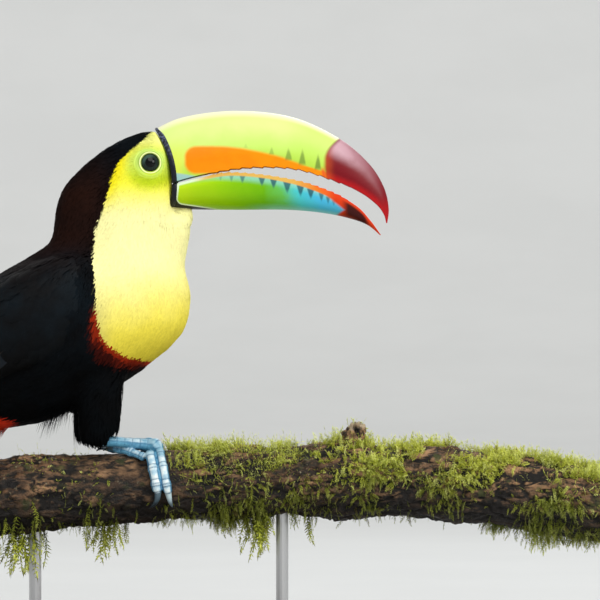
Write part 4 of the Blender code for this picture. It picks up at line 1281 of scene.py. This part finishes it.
def footFinish():
    scaly = Finish("legScales", {"Specular IOR Level": 0.5})
    patches, wide = scaly.noise(0.3, 4.0), scaly.noise(0.08, 2.0)
    plate, groove = scaly.value("plate"), scaly.value("groove")
    _, _, z = scaly.place().parts()
    skinBlue = patches.step(0.35, 0.68).mix(*foot["skinBlue"])
    pale = patches.step(0.3, 0.7).mix(*foot["pale"])
    shank = z.step(116.0, 123.0)
    colour = (plate * (patches.step(0.2, 0.55) * 0.35 + 0.6 - shank * 0.35)).mix(skinBlue, pale)
    colour = (wide.step(0.35, 0.65) * shank * 0.6).mix(colour, foot["shankBlue"])
    colour = (groove * 0.85).mix(colour, foot["grooveBlue"])
    cells = scaly.wire.make("TexVoronoi", 0, {"feature": "DISTANCE_TO_EDGE"},
                            {"Vector": scaly.place(), "Scale": 1.1})
    scaly.paint(colour, patches * 0.25 + 0.26)
    scaly.bump(cells.step(0.0, 0.25) * (1 - plate) + patches * 0.5, 0.35, 0.14)
    return scaly.material


def scaleLeg(leg, guides):
    # raises the plates of a remeshed leg and sinks the grooves between them
    points, _ = meshArrays(leg)
    lines, outwards, cuts = (np.concatenate(part) for part in zip(*guides))
    tree = kdtree.KDTree(len(lines))
    for i, point in enumerate(lines):
        tree.insert(Vector(point), i)
    tree.balance()
    nearest = np.array([tree.find(Vector(point))[1] for point in points])
    facing = (unit(points - lines[nearest]) * outwards[nearest]).sum(1)
    cross = np.exp(-((cuts[nearest] / foot["groove"]) ** 2)) * smoothStep(-0.35, 0.1, facing)
    edge = np.exp(-(((facing - 0.55) / 0.1) ** 2))
    plate = smoothStep(0.58, 0.74, facing)
    groove = np.clip(np.maximum(cross, edge * 0.7), 0, 1)
    setPoints(leg, points + vertexNormals(leg) * (foot["raise"] * plate - foot["sink"] * groove)[:, None])
    addValues(leg, {"plate": plate, "groove": groove})


def cutDistances(line, shares):
    # distance from each point of a line to the nearest cut
    travelled = lineLengths(line)
    places = np.asarray(shares) * travelled[-1]
    return np.abs(travelled[:, None] - places[None]).min(1)


def clawFinish(name, colours):
    rootColour, tipColour = colours
    horn = Finish(name, {"Specular IOR Level": 0.5})
    streaks = horn.noise(0.9, 3.0, (1, 1, 0.3))
    colour = horn.value("share").step(0.1, 0.8).mix(rootColour, tipColour)
    horn.paint((streaks.step(0.4, 0.7) * 0.3).mix(colour, rootColour), streaks * 0.25 + 0.2)
    horn.bump(streaks, 0.2, 0.1)
    return horn.material


def makeShank(ankle, pad, sign):
    # a tube, and the guide for its plates: line, outward directions and distances to the cuts
    bends = np.array([ankle + (-6.0, 0, 2.2), ankle, (ankle + pad) / 2 + (0, 0, 0.6),
                      pad + (-3.0, 0, 1.2), pad])
    spots = np.linspace(0, 4, 190)
    line = along(bends, spots)
    radii = along(np.array(foot["shank"])[:, None], spots)[:, 0]
    front = unit(np.array([0, sign * 0.45, 1.0]))
    cuts = cutDistances(line, np.linspace(0, 1, foot["shankPlates"]))
    return tubePiece("shankSkin", line, radii, None, 26), (line, np.tile(front, (len(line), 1)), cuts)


def makePad(pad):
    # ball of the foot
    rises = np.linspace(-1, 1, 30)
    line = pad + (0.6, 0, 0.4) + np.array([[0, 0, 1]]) * rises[:, None] * foot["knuckle"] * 0.98
    return tubePiece("padSkin", line, foot["knuckle"] * np.sqrt(np.maximum(1 - rises**2, 0.01)), None, 22)


def makeToe(measures, height, sign, back):
    # a tube and its guide, as for the shank
    radius = measures[4]
    shares = np.linspace(-0.06, 1, 150)
    line = np.array([toePoint(measures, share, height, sign, back) for share in shares])
    knuckles = sum(rise * np.exp(-(((shares - at) / 0.055) ** 2)) for at, rise in foot["joints"])
    radii = radius * (0.91 + knuckles)
    radii *= 1 - 0.28 * smoothStep(0.93, 1.0, shares)
    middles = np.array([branchCentre(point[0]) for point in line])
    return (tubePiece("toeSkin", line, radii, None, 24),
            (line, unit(line - middles), cutDistances(line, foot["plates"])))


def makeClaw(name, line, measures, height, sign, back, finish):
    # runs on from the toe's line and comes down to just above the bark
    radius, clawLength, swing = measures[4:]
    shares = np.linspace(0.97, 1 + clawLength / lineLengths(line)[-1], 26)
    part = (shares - shares[0]) / (shares[-1] - shares[0])
    rises = height + (0.6 + foot["gap"] - height) * part**2 + 0.9 * np.sin(math.pi * part) * part
    clawLine = np.array([toePoint(measures, share, rise, sign, back, swing * at**2)
                         for share, rise, at in zip(shares, rises, part)])
    return tubePiece(name, clawLine, radius * 0.66 * (1 - part) ** 0.7 + 0.12, finish, 14)


def makeFeet():
    # returns the bare legs, remeshed as one surface each, which join the skin; claws are their own pieces
    skinFinish = footFinish()
    darkHorn = clawFinish("clawHorn", foot["darkClaw"])
    # the inner claws take a lighter copy of the same horn, a painted glint
    glintHorn = clawFinish("glintClawHorn", foot["glintClaw"])
    legs = []
    for side, sign, back in (("right", -1, 0.0), ("left", 1, foot["leftBack"])):
        padX, padTurn, padSize = foot["pad"]
        pad = onBranch(padX, padTurn, padSize - 0.8)
        pad = np.array([pad[0] - back, sign * -pad[1], pad[2]])
        ankle = np.array([foot["ankle"][0] - back, sign * foot["ankle"][1], foot["ankle"][2]])
        shank, guide = makeShank(ankle, pad, sign)
        tubes, guides, replaced = [shank, makePad(pad)], [guide], [side + "_shank"]
        for toe, measures in toes.items():
            height = measures[4] * 1.02 + foot["gap"]
            tube, guide = makeToe(measures, height, sign, back)
            tubes.append(tube)
            guides.append(guide)
            claw = makeClaw("claw" + side.title() + toe[4], guide[0], measures, height, sign, back,
                            glintHorn if "inner" in toe else darkHorn)
            place(claw, [side + "_" + toe.replace("toe", "claw")])
            replaced.append(side + "_" + toe)
        pickOnly(*tubes)
        bpy.ops.object.join()
        leg = bpy.context.view_layer.objects.active
        leg = remesh(leg, foot["voxel"], 0.4, 3)
        scaleLeg(leg, guides)
        leg.data.materials.clear()
        leg.data.materials.append(skinFinish)
        leg.data.shade_smooth()
        legs.append((leg, replaced))
    return legs


# layer is how much higher each inner feather of the wing lies; roof is how the tail slopes to its sides
flight = {
    "secondaries": 10, "primaries": 8, "layer": 0.098, "tailPairs": 5, "tailRoot": (-133.0, 155.0),
    "tailDrop": 22.0, "tailLength": 152.0, "tailHalf": 23.5, "tailVane": 15.5, "roof": 0.16,
    "black": ((0.0042, 0.0046, 0.0054), (0.007, 0.010, 0.014)), "fringe": (0.010, 0.009, 0.008),
    "shaft": (0.014, 0.012, 0.011),
}


def quillShape(rows, tipStart=0.82, root=0.16):
    # long vane with a raised shaft
    sections = [(0, 0, 0)]
    for share in np.linspace(0.01, 0.992, rows):
        half = 0.5 * min(1.0, root * 2 + share * 3.2)
        if share > tipStart:
            half *= math.sqrt(max(0.02, 1 - ((share - tipStart) / (1 - tipStart)) ** 2.2))
        sections.append((share, half, 0.045 * (1 - 0.6 * share)))
    sections.append((1, 0, 0))
    across = ((-1, 0), (-0.6, 0.5), (-0.1, 0.75), (0, 1.7), (0.1, 0.75), (0.6, 0.5), (1, 0), (0, -0.6))
    return featherShape(sections, across)


def quillFinish():
    vane = Finish("flightFeather", {"Specular IOR Level": 0.1})
    fromShaft, share = vane.value("across").size(), vane.value("share")
    barbs = (share * 160.0 - fromShaft * 26.0).sine()
    soft = vane.noise(0.06, 3.0)
    colour = soft.step(0.3, 0.7).mix(*flight["black"])
    colour = (fromShaft.step(0.9, 1.0) * 0.5).mix(colour, flight["fringe"])
    colour = fromShaft.step(0.08, 0.02).mix(colour, flight["shaft"])
    vane.paint(colour, soft * 0.2 + 0.4)
    vane.bump(barbs * 0.5 + soft, 0.22, 0.12)
    return vane.material


def resample(rows, places):
    # rows of three numbers, spread evenly from 0 to 1, read at places between them
    spots = np.linspace(0, 1, len(rows))
    return np.stack([np.interp(places, spots, rows[:, k]) for k in range(3)], -1)


def quills(name, feathers, shape, finish, replaced=()):
    # one mesh of long feathers: each has a line of points, upward directions along it, a width and
    # its spot in the bake's map
    template, faces = shape
    u, across, thick = template.T
    aside = across / np.abs(across).max()
    allPoints, allFaces, uv = [], [], []
    for i, (line, up, width, spot) in enumerate(feathers):
        lift = unit(resample(up, u))
        side = unit(np.cross(unit(resample(np.gradient(line, axis=0), u)), lift))
        allPoints.append(resample(line, u) + side * across[:, None] * width + lift * thick[:, None] * width)
        allFaces.append(faces + i * len(template))
        uv.append(np.array(spot) + bakePatch(aside, u))
    values = {"across": np.tile(aside, len(feathers)), "share": np.tile(u, len(feathers))}
    piece = buildPiece(name, np.concatenate(allPoints), np.concatenate(allFaces), finish, True, values,
                       np.concatenate(uv))
    piece.data.set_sharp_from_angle(angle=math.radians(60))
    outward(piece)
    print(name, len(feathers), "quills", len(allFaces) * len(faces), "triangles")
    place(piece, replaced)


def wingLine(ground, sign, share, layers):
    # a flight feather's line on the side of the body, and the directions away from the body along it
    rootX, rootZ = -52 - 46 * share, 190 - 6 * share
    tipX = -112 - 80 * share**0.9
    tipZ = 147.5 - 19.5 * share**0.9 + 1.8 * math.sin(math.pi * share)
    line, up = [], []
    for k, s in enumerate(np.linspace(0, 1, 16)):
        x, z = rootX + (tipX - rootX) * s, rootZ + (tipZ - rootZ) * s - 5 * math.sin(math.pi * s)
        where, normal, _, _ = ground.tree.ray_cast(Vector((x, sign * 90, z)), Vector((0, -sign, 0)), 89.0)
        if where is None:
            # past the body's outline the feather keeps clear of the middle
            nearest = ground.tree.find_nearest(Vector((x, sign * 22, z)))[0]
            where = Vector((x, nearest[1] if nearest[1] * sign > 9 else sign * 9, z))
            normal = Vector((0, sign, 0.3))
        outwards = unit(np.array(normal))
        # the roots dive under the coverts
        out = -1.4 + 2.3 * smoothStep(1, 4, k) + layers * flight["layer"] * smoothStep(0, 4, k)
        line.append(np.array(where) + outwards * out)
        up.append(outwards)
    line = np.array(line)
    for _ in range(6):
        line[1:-1] = (line[:-2] + line[1:-1] * 2 + line[2:]) / 4
    return line, np.array(up)


def makeWings(ground, finish):
    # from the innermost secondary, which lies on top, to the longest primary
    shape = quillShape(18)
    count = flight["secondaries"] + flight["primaries"]
    for side, sign, mapRow in (("Right", -1, 0.985), ("Left", 1, 0.992)):
        feathers = []
        for i in range(count):
            share = i / (count - 1)
            line, up = wingLine(ground, sign, share, count - i)
            feathers.append((line, up, 13.0 - 3.5 * share, (0.03 + 0.05 * i, mapRow)))
        quills("flightFeathers" + side, feathers, shape, finish)


def makeTail(finish):
    # pairs of tail feathers, the middle pair on top
    drop = math.radians(flight["tailDrop"])
    back = np.array([-math.cos(drop), 0, -math.sin(drop)])
    upward = np.array([-math.sin(drop), 0, math.cos(drop)])
    root = np.array([flight["tailRoot"][0], 0, flight["tailRoot"][1]])
    pairs, roof = flight["tailPairs"], flight["roof"]
    feathers = []
    for pair in range(pairs - 1, -1, -1):
        for sign, mapRow in ((-1, 0.985), (1, 0.992)):
            spread = (pair + 0.42) / (pairs - 0.1)
            length = flight["tailLength"] - 3.0 * pair**1.5 - 0.8
            startY, endY = sign * spread * 5.5, sign * spread * (flight["tailHalf"] - 6.8)
            line = []
            for s in np.linspace(0.08, 1, 16):
                high = 0.9 - 0.42 * pair - roof * abs(startY + (endY - startY) * s) + 0.12 * sign
                aside = np.array([0, startY + (endY - startY) * s**0.8, 0])
                line.append(root + back * length * s + aside + upward * high)
            up = np.tile(unit(upward + np.array([0, sign * roof, 0])), (len(line), 1))
            feathers.append((np.array(line), up, flight["tailVane"], (0.6 + 0.03 * pair, mapRow)))
    quills("tailFeathers", feathers, quillShape(20, 0.88, 0.2), finish, ["tail"])


bark = {
    "voxel": 1.0, "lumps": 2.0, "fine": 0.8, "cracks": 1.5, "trim": 0.35, "lowest": -2.6, "highest": 2.2,
    "twigFrom": (131, 136), "twigDrop": 3.2, "heartwoodAt": 96.0,
    "brown": ((0.009, 0.006, 0.003), (0.15, 0.078, 0.037)), "tan": (0.42, 0.24, 0.12),
    "algae": (0.055, 0.065, 0.014), "lichen": (0.34, 0.29, 0.18), "dark": (0.006, 0.004, 0.003),
    "splinter": ((0.30, 0.20, 0.11), (0.72, 0.60, 0.42)), "sawn": ((0.42, 0.26, 0.13), (0.55, 0.38, 0.21)),
}
moss = {
    # how thick the moss is at places along the branch: x, on top, on the sides, underneath
    "rows": ((-92, 0.10, 0.12, 0.05), (-60, 0.10, 0.12, 0.12), (-28, 0.22, 0.15, 0.2),
             (8, 0.10, 0.12, 0.15), (24, 0.8, 0.12, 0.3), (42, 1.0, 0.22, 0.55), (70, 1.0, 0.5, 0.8),
             (95, 0.85, 0.75, 0.5), (116, 0.6, 0.6, 0.2), (128, 0.5, 0.5, 0.12), (142, 1.3, 1.0, 0.12),
             (175, 1.4, 0.95, 0.08), (200, 1.2, 0.7, 0.2), (216, 1.3, 0.85, 0.8), (240, 1.3, 0.9, 0.7),
             (281, 1.3, 0.9, 0.4)),
    # strands that hang below: middle x, spread, how many, longest
    "hangers": ((-54, 12, 60, 34), (-8, 14, 60, 25), (40, 8, 26, 12), (60, 8, 50, 14), (78, 7, 90, 30),
                (98, 6, 26, 13), (108, 3, 14, 20), (150, 30, 20, 6), (238, 14, 110, 16),
                (264, 12, 50, 12)),
    "sprigs": 5500, "hairs": 4200, "mats": 16000, "tall": 620,
    "green": ((0.11, 0.16, 0.012), (0.90, 0.94, 0.10)), "fresh": (0.95, 1.0, 0.36),
    "withered": (0.26, 0.14, 0.05), "tips": (0.95, 1.0, 0.26), "roots": (0.03, 0.03, 0.006),
    "shaded": (0.035, 0.055, 0.006),
}


def fromCentre(finish):
    # height above the middle line of the branch
    x, _, z = finish.place().parts()
    crestX, crestZ = perch["crest"]
    before, after = perch["fall"]
    return z + (crestX - x).most(0.0) ** 2 * before + (x - crestX).most(0.0) ** 2 * after - crestZ


def barkFinish():
    rough = Finish("bark", {"Specular IOR Level": 0.35})
    wide, fine = rough.noise(0.04, 5.0), rough.noise(0.28, 6.0, (0.5, 1, 1), 0.65)
    x, y, z = rough.place().parts()
    colour = fine.step(0.38, 0.62).mix(*bark["brown"])
    colour = (wide.step(0.42, 0.62) * fine.step(0.42, 0.6)).mix(colour, bark["tan"])
    colour = (rough.noise(0.11, 5.0).step(0.56, 0.66) * 0.75).mix(colour, bark["algae"])
    colour = (rough.noise(0.55, 4.0).step(0.64, 0.72) * 0.8).mix(colour, bark["lichen"])
    # cracks and the underside are painted nearly black, as shade
    colour = rough.value("relief").step(-0.1, -1.1).mix(colour, bark["dark"])
    colour = ((fromCentre(rough) + wide * 14.0 - 7.0).step(3.0, -13.0) * 0.93).mix(colour, bark["dark"])
    snapped = (z + fine * 5.0).step(135.8, 138.8) * (x - 131.0).size().step(14.0, 9.0)
    colour = snapped.mix(colour, fine.step(0.3, 0.7).mix(*bark["splinter"]))
    centred = (y * y + (z - bark["heartwoodAt"]) ** 2) ** 0.5
    rings = (centred * 2.4 + fine * 3.0).sine()
    colour = rough.value("sawn").mix(colour, (rings * 0.5 + 0.5).mix(*bark["sawn"]))
    rough.paint(colour, wide.step(0.3, 0.6) * 0.3 + 0.36)
    rough.bump(fine * 2.2 + rough.noise(1.0, 4.0), 1.0, 0.9)
    return rough.material


def barkRelief(point):
    # lumps along the branch, finer bumps, and cracks that run lengthwise
    x, y, z = point
    lumps = noise.fractal(Vector((x * 0.05, y * 0.12, z * 0.12)), 1.0, 2.0, 4,
                          noise_basis="PERLIN_ORIGINAL")
    fine = noise.fractal(Vector(point) * 0.30, 0.8, 2.1, 3, noise_basis="PERLIN_ORIGINAL")
    crack = abs(noise.noise(Vector((x * 0.07, y * 0.2, z * 0.2)) + Vector((9, 2, 4))))
    return bark["lumps"] * lumps + bark["fine"] * fine - bark["cracks"] * math.exp(-((crack / 0.07) ** 2))


def makeBranch():
    branch = remesh(copyOfNodes("branch", ["perch_branch"]), bark["voxel"], 0.5, 6)
    points, _ = meshArrays(branch)
    normals = vertexNormals(branch)
    x, y, z = points.T
    left, right = perch["ends"]
    # the bark stays calm under the feet and flat at the sawn ends
    nearFeet = smoothStep(48, 26, np.abs(x - 6.0)) * smoothStep(100, 112, z + 10)
    relief = np.array([barkRelief(point) for point in points])
    relief = relief * (1 - 0.8 * nearFeet) - bark["trim"] - 0.25 * nearFeet
    ends = smoothStep(0.2, 3.0, np.minimum(x - left, right - x))
    # the end of the broken twig is splintered
    z -= smoothStep(*bark["twigFrom"], z) * bark["twigDrop"] * (0.5 + 0.5 * np.sin(x * 2.1 + y * 3.3))
    points += normals * (np.clip(relief, bark["lowest"], bark["highest"]) * ends)[:, None]
    setPoints(branch, points)
    addValues(branch, {"relief": relief, "sawn": (np.abs(normals[:, 0]) > 0.8) * (ends < 0.2)})
    branch.data.materials.append(barkFinish())
    branch.data.shade_smooth()
    branch.name = "branch"
    return place(branch, ["perch_branch"])


def spikes(parts):
    # thin closed three-edged spikes as one shape; each has a start, an end, a half width and a thickness
    points, faces = [], []
    for start, end, half, thick in parts:
        start, end = np.array(start, float), np.array(end, float)
        base = len(points)
        way = end - start
        side = unit(np.array([-way[1], way[0], 0.0])) * half
        middle = start + way * 0.42 + (0, 0, thick)
        points += [start, middle - side, middle + side, end]
        faces += [(base, base + 1, base + 2), (base + 3, base + 2, base + 1), (base, base + 3, base + 1),
                  (base, base + 2, base + 3)]
    return np.array(points), np.array(faces)


def sprigShape(leaflets, reach, seed, bend):
    # lacy sprig along +x: a bent stem with narrow leaflets on both sides
    dice = np.random.default_rng(seed)

    def stem(share):
        return np.array([share, 0.12 * math.sin(share * 3 + seed), bend * share**2])

    parts = [(stem(a), stem(a + 0.27), 0.022, 0.02) for a in (0.0, 0.25, 0.5, 0.73)]
    for i in range(leaflets):
        share = 0.12 + 0.84 * i / leaflets
        long = reach * (0.45 + 0.55 * math.sin(math.pi * min(1, share + 0.1)))
        for sign in (-1, 1):
            way = np.array([dice.uniform(0.4, 0.9), sign * dice.uniform(0.7, 1.0), dice.uniform(-0.3, 0.5)])
            parts.append((stem(share), stem(share) + long * way, long * 0.13, 0.018))
    return spikes(parts)


def mossHair(bend):
    # moss hair of three thin lengths
    lengths = (((0, 0, 0), (0.4, 0.03, 0.02)), ((0.36, 0.025, 0.018), (0.75, 0.02, bend)),
               ((0.7, 0.02, bend * 0.85), (1, -0.05, bend * 3)))
    return spikes([(start, end, 0.012, 0.012) for start, end in lengths])


def stampShapes(name, shapes, at, heading, up, size, droop, finish, tone):
    # copies of the shapes as a single mesh, each turned, scaled and bent down along its length
    heading = unit(heading)
    side = unit(np.cross(up, heading))
    up = np.cross(heading, side)
    allPoints, allFaces, tones, shares, base = [], [], [], [], 0
    for number, (template, faces) in enumerate(shapes):
        pick = slice(number, None, len(shapes))
        local = template[None] * size[pick, None, None]
        points = (at[pick, None] + heading[pick, None] * local[..., :1] + side[pick, None] * local[..., 1:2]
                  + up[pick, None] * local[..., 2:3])
        points[..., 2] -= droop[pick, None] * (template[:, 0] ** 2)[None] * size[pick, None]
        count = len(points)
        allPoints.append(points.reshape(-1, 3))
        starts = base + np.arange(count) * len(template)
        allFaces.append((faces[None] + starts[:, None, None]).reshape(-1, 3))
        tones.append(np.repeat(tone[pick], len(template)))
        shares.append(np.tile(template[:, 0], count))
        base += count * len(template)
    faces = np.concatenate(allFaces)
    piece = buildPiece(name, np.concatenate(allPoints), faces, finish, False,
                       {"tone": np.concatenate(tones), "share": np.concatenate(shares)})
    print(name, len(at), "pieces of moss", len(faces), "triangles")
    return place(piece)


def mossFinish():
    green = Finish("moss", {"Specular IOR Level": 0.2})
    tone, share = green.value("tone"), green.value("share")
    patches = green.noise(0.03, 3.0)
    colour = (tone * 0.7 + patches.step(0.35, 0.65) * 0.3).mix(*moss["green"])
    colour = (tone.step(0.75, 0.95) * 0.7).mix(colour, moss["fresh"])
    colour = tone.step(0.14, 0.05).mix(colour, moss["withered"])
    colour = (share.step(0.55, 1.0) * 0.55).mix(colour, moss["tips"])
    # each sprig darkens towards its base, painted shade deep in the moss
    colour = (share.step(0.4, 0.0) * 0.85).mix(colour, moss["roots"])
    # sprigs on the shaded underside are darker
    level = fromCentre(green)
    colour = (level.step(9.0, -15.0) * level.step(-34.0, -19.0) * 0.62).mix(colour, moss["shaded"])
    green.paint(colour, patches * 0.2 + 0.55)
    return green.material


def makeMoss(branch):
    points, triangles = meshArrays(branch)
    corners = points[triangles]
    middle = corners.mean(1)
    area = triangleAreas(corners)
    up = unit(vertexNormals(branch)[triangles].mean(1))
    x, _, z = middle.T
    patch = np.array([noise.fractal(Vector((a * 0.045, b * 0.09, c * 0.09)), 1.0, 2.0, 3)
                      for a, b, c in middle])
    rows = np.array(moss["rows"])
    onTop, onSides, below = (np.interp(x, rows[:, 0], rows[:, column]) for column in (1, 2, 3))
    top, under = smoothStep(0.25, 0.75, up[:, 2]), smoothStep(-0.35, -0.8, up[:, 2])
    thick = onTop * top + onSides * (1 - top - under) + below * under
    # none under the toes, on the broken twig or on the sawn ends
    thick *= smoothStep(15, 22, np.hypot(x - 10, (z - 118) * 0.6)) * (z < 137)
    thick *= (x > perch["ends"][0] + 2) & (x < perch["ends"][1] - 2)
    finish = mossFinish()

    def choose(weight, count):
        weight = np.maximum(weight, 0) * area
        return rng.choice(len(middle), count, p=weight / weight.sum())

    def jitter(count, size=1.0):
        return rng.normal(0, size, (count, 3))

    def sow(name, shapes, pick, sink, heading, sizes, droops, tones):
        # grows one shape or another at each picked spot, turned any way round its heading
        stampShapes(name, shapes, middle[pick] - up[pick] * sink, heading, unit(jitter(len(pick))),
                    rng.uniform(*sizes, len(pick)), rng.uniform(*droops, len(pick)), finish,
                    rng.uniform(*tones, len(pick)))

    blade = [spikes([((0, 0, 0), (1, aside, aside), half, 0.06)])
             for aside, half in ((0.1, 0.07), (-0.1, 0.06))]
    pick = choose(thick**1.5 * (patch * 1.6 + 0.45), moss["mats"])
    heading = unit(up[pick] * 0.6 + jitter(len(pick), 0.6))
    stampShapes("mossMats", blade, middle[pick] - up[pick] * 0.3, heading, np.roll(up[pick], 1, 1),
                rng.uniform(1.2, 3.2, len(pick)), rng.uniform(0, 0.4, len(pick)), finish,
                rng.uniform(0.1, 0.85, len(pick)))
    lacy = [sprigShape(8, 0.26, seed, bend) for seed, bend in enumerate((0.3, -0.1, 0.15, 0.4, 0.0, -0.2))]
    pick = choose(thick**1.2 * (patch * 1.6 + 0.35), moss["sprigs"])
    heading = unit(up[pick] * 0.8 + jitter(len(pick), 0.6) + (0.05, 0, 0.12))
    size = rng.uniform(3.2, 7.6, len(pick)) * (0.6 + 0.4 * np.minimum(thick[pick], 1.4))
    droop = rng.uniform(-0.1, 0.4, len(pick)) + 0.5 * (up[pick, 2] < 0.3)
    for number in range(3):
        part = slice(number, None, 3)
        stampShapes(f"mossSprigs{number + 1}", lacy, (middle[pick] - up[pick] * 0.3)[part], heading[part],
                    unit(jitter(len(pick)))[part], size[part], droop[part], finish,
                    rng.random(len(pick))[part])
    # taller sprigs stand out of the rest on top
    slender = [sprigShape(10, 0.17, seed, bend) for seed, bend in ((21, 0.2), (22, -0.15), (23, 0.3))]
    high = top * (z < 134) * (smoothStep(25, 27, x) * smoothStep(50, 36, x) * 1.4
                              + smoothStep(100, 150, x) * 0.7)
    pick = choose(high * (patch + 0.55), moss["tall"])
    heading = unit(up[pick] * 0.5 + jitter(len(pick), 0.28) + (0, 0, 0.9))
    sow("mossTall", slender, pick, 0.4, heading, (5.0, 10.5), (-0.1, 0.3), (0.45, 1))
    tuft = smoothStep(34, 46, x) * smoothStep(108, 88, x) + 0.08 + 0.25 * smoothStep(140, 150, x)
    pick = choose(top * tuft * thick * (patch + 0.5), moss["hairs"])
    heading = unit(up[pick] + jitter(len(pick), 0.4) + (0, 0, 0.35))
    hairs = [mossHair(bend) for bend in (0.08, -0.08, 0.03)]
    sow("mossHairs", hairs, pick, 0.4, heading, (4.0, 11.5), (0, 0.5), (0.5, 1))
    # strands hang from the underside, longest in the middle of each group
    low = smoothStep(-0.2, -0.7, up[:, 2])
    picks, sizes = [], []
    for at, spread, count, longest in moss["hangers"]:
        here = choose(low * np.exp(-(((x - at) / spread) ** 2)), count)
        picks.append(here)
        sizes.append(longest * rng.uniform(0.3, 1.0, count)
                     * np.exp(-(((x[here] - at) / spread) ** 2) * 0.6))
    order = rng.permutation(sum(len(here) for here in picks))
    pick, size = np.concatenate(picks)[order], np.concatenate(sizes)[order]
    heading = unit(np.array([0, 0, -1.0]) + jitter(len(pick), 0.16))
    strands = [sprigShape(10, 0.13, seed, 0.1) for seed in (11, 12, 13)]
    stampShapes("mossHangers", strands, middle[pick] - up[pick] * 0.3, heading, unit(jitter(len(pick))),
                size, np.zeros(len(pick)), finish, rng.uniform(0.1, 0.8, len(pick)))


stand = {"wood": ((0.028, 0.014, 0.008), (0.085, 0.043, 0.022)), "pores": (0.02, 0.01, 0.006),
         "steel": ((0.5, 0.5, 0.51), (0.66, 0.66, 0.66))}


def woodFinish():
    wood = Finish("standWood", {"Coat Weight": 0.35, "Coat Roughness": 0.15})
    grain = wood.noise(0.05, 6.0, (0.12, 1, 1))
    lines = (grain * 60.0).sine()
    pores = wood.noise(0.9, 2.0, (0.06, 1, 1)).step(0.55, 0.75) * 0.5
    wood.paint(pores.mix((lines * 0.3 + 0.5).mix(*stand["wood"]), stand["pores"]), grain * 0.2 + 0.25)
    wood.bump(lines, 0.06, 0.1)
    return wood.material


def steelFinish():
    steel = Finish("brushedSteel", {"Metallic": 1.0})
    brushed = steel.noise(0.4, 4.0, (1, 1, 0.02))
    steel.paint(brushed.mix(*stand["steel"]), brushed * 0.25 + 0.22)
    steel.bump(brushed, 0.05, 0.05)
    return steel.material


def dressStand():
    # base, rods and collars stay as the frame has them
    wood, steel = woodFinish(), steelFinish()
    for name, node in nodes.items():
        if name.startswith("stand_"):
            node.data.materials.clear()
            node.data.materials.append(wood if name == "stand_base" else steel)


print("studio")
setCamera()
setLamps()
makeFloor()
print("skin")
skin = makeSkin()
ground = Ground(skin)
print("skin triangles", len(ground.triangles))
print("feathers")
growCoat(ground)
quillPaint = quillFinish()
makeWings(ground, quillPaint)
makeTail(quillPaint)
print("bill and eyes")
makeBill()
eyeRings = makeEyes(ground)
print("feet")
legs = makeFeet()
pickOnly(skin, *eyeRings, *[leg for leg, _ in legs])
bpy.ops.object.join()
place(skin, fleshNodes + [node for _, replaced in legs for node in replaced])
print("whole skin", len(skin.data.polygons))
print("branch, moss and stand")
branch = makeBranch()
makeMoss(branch)
dressStand()
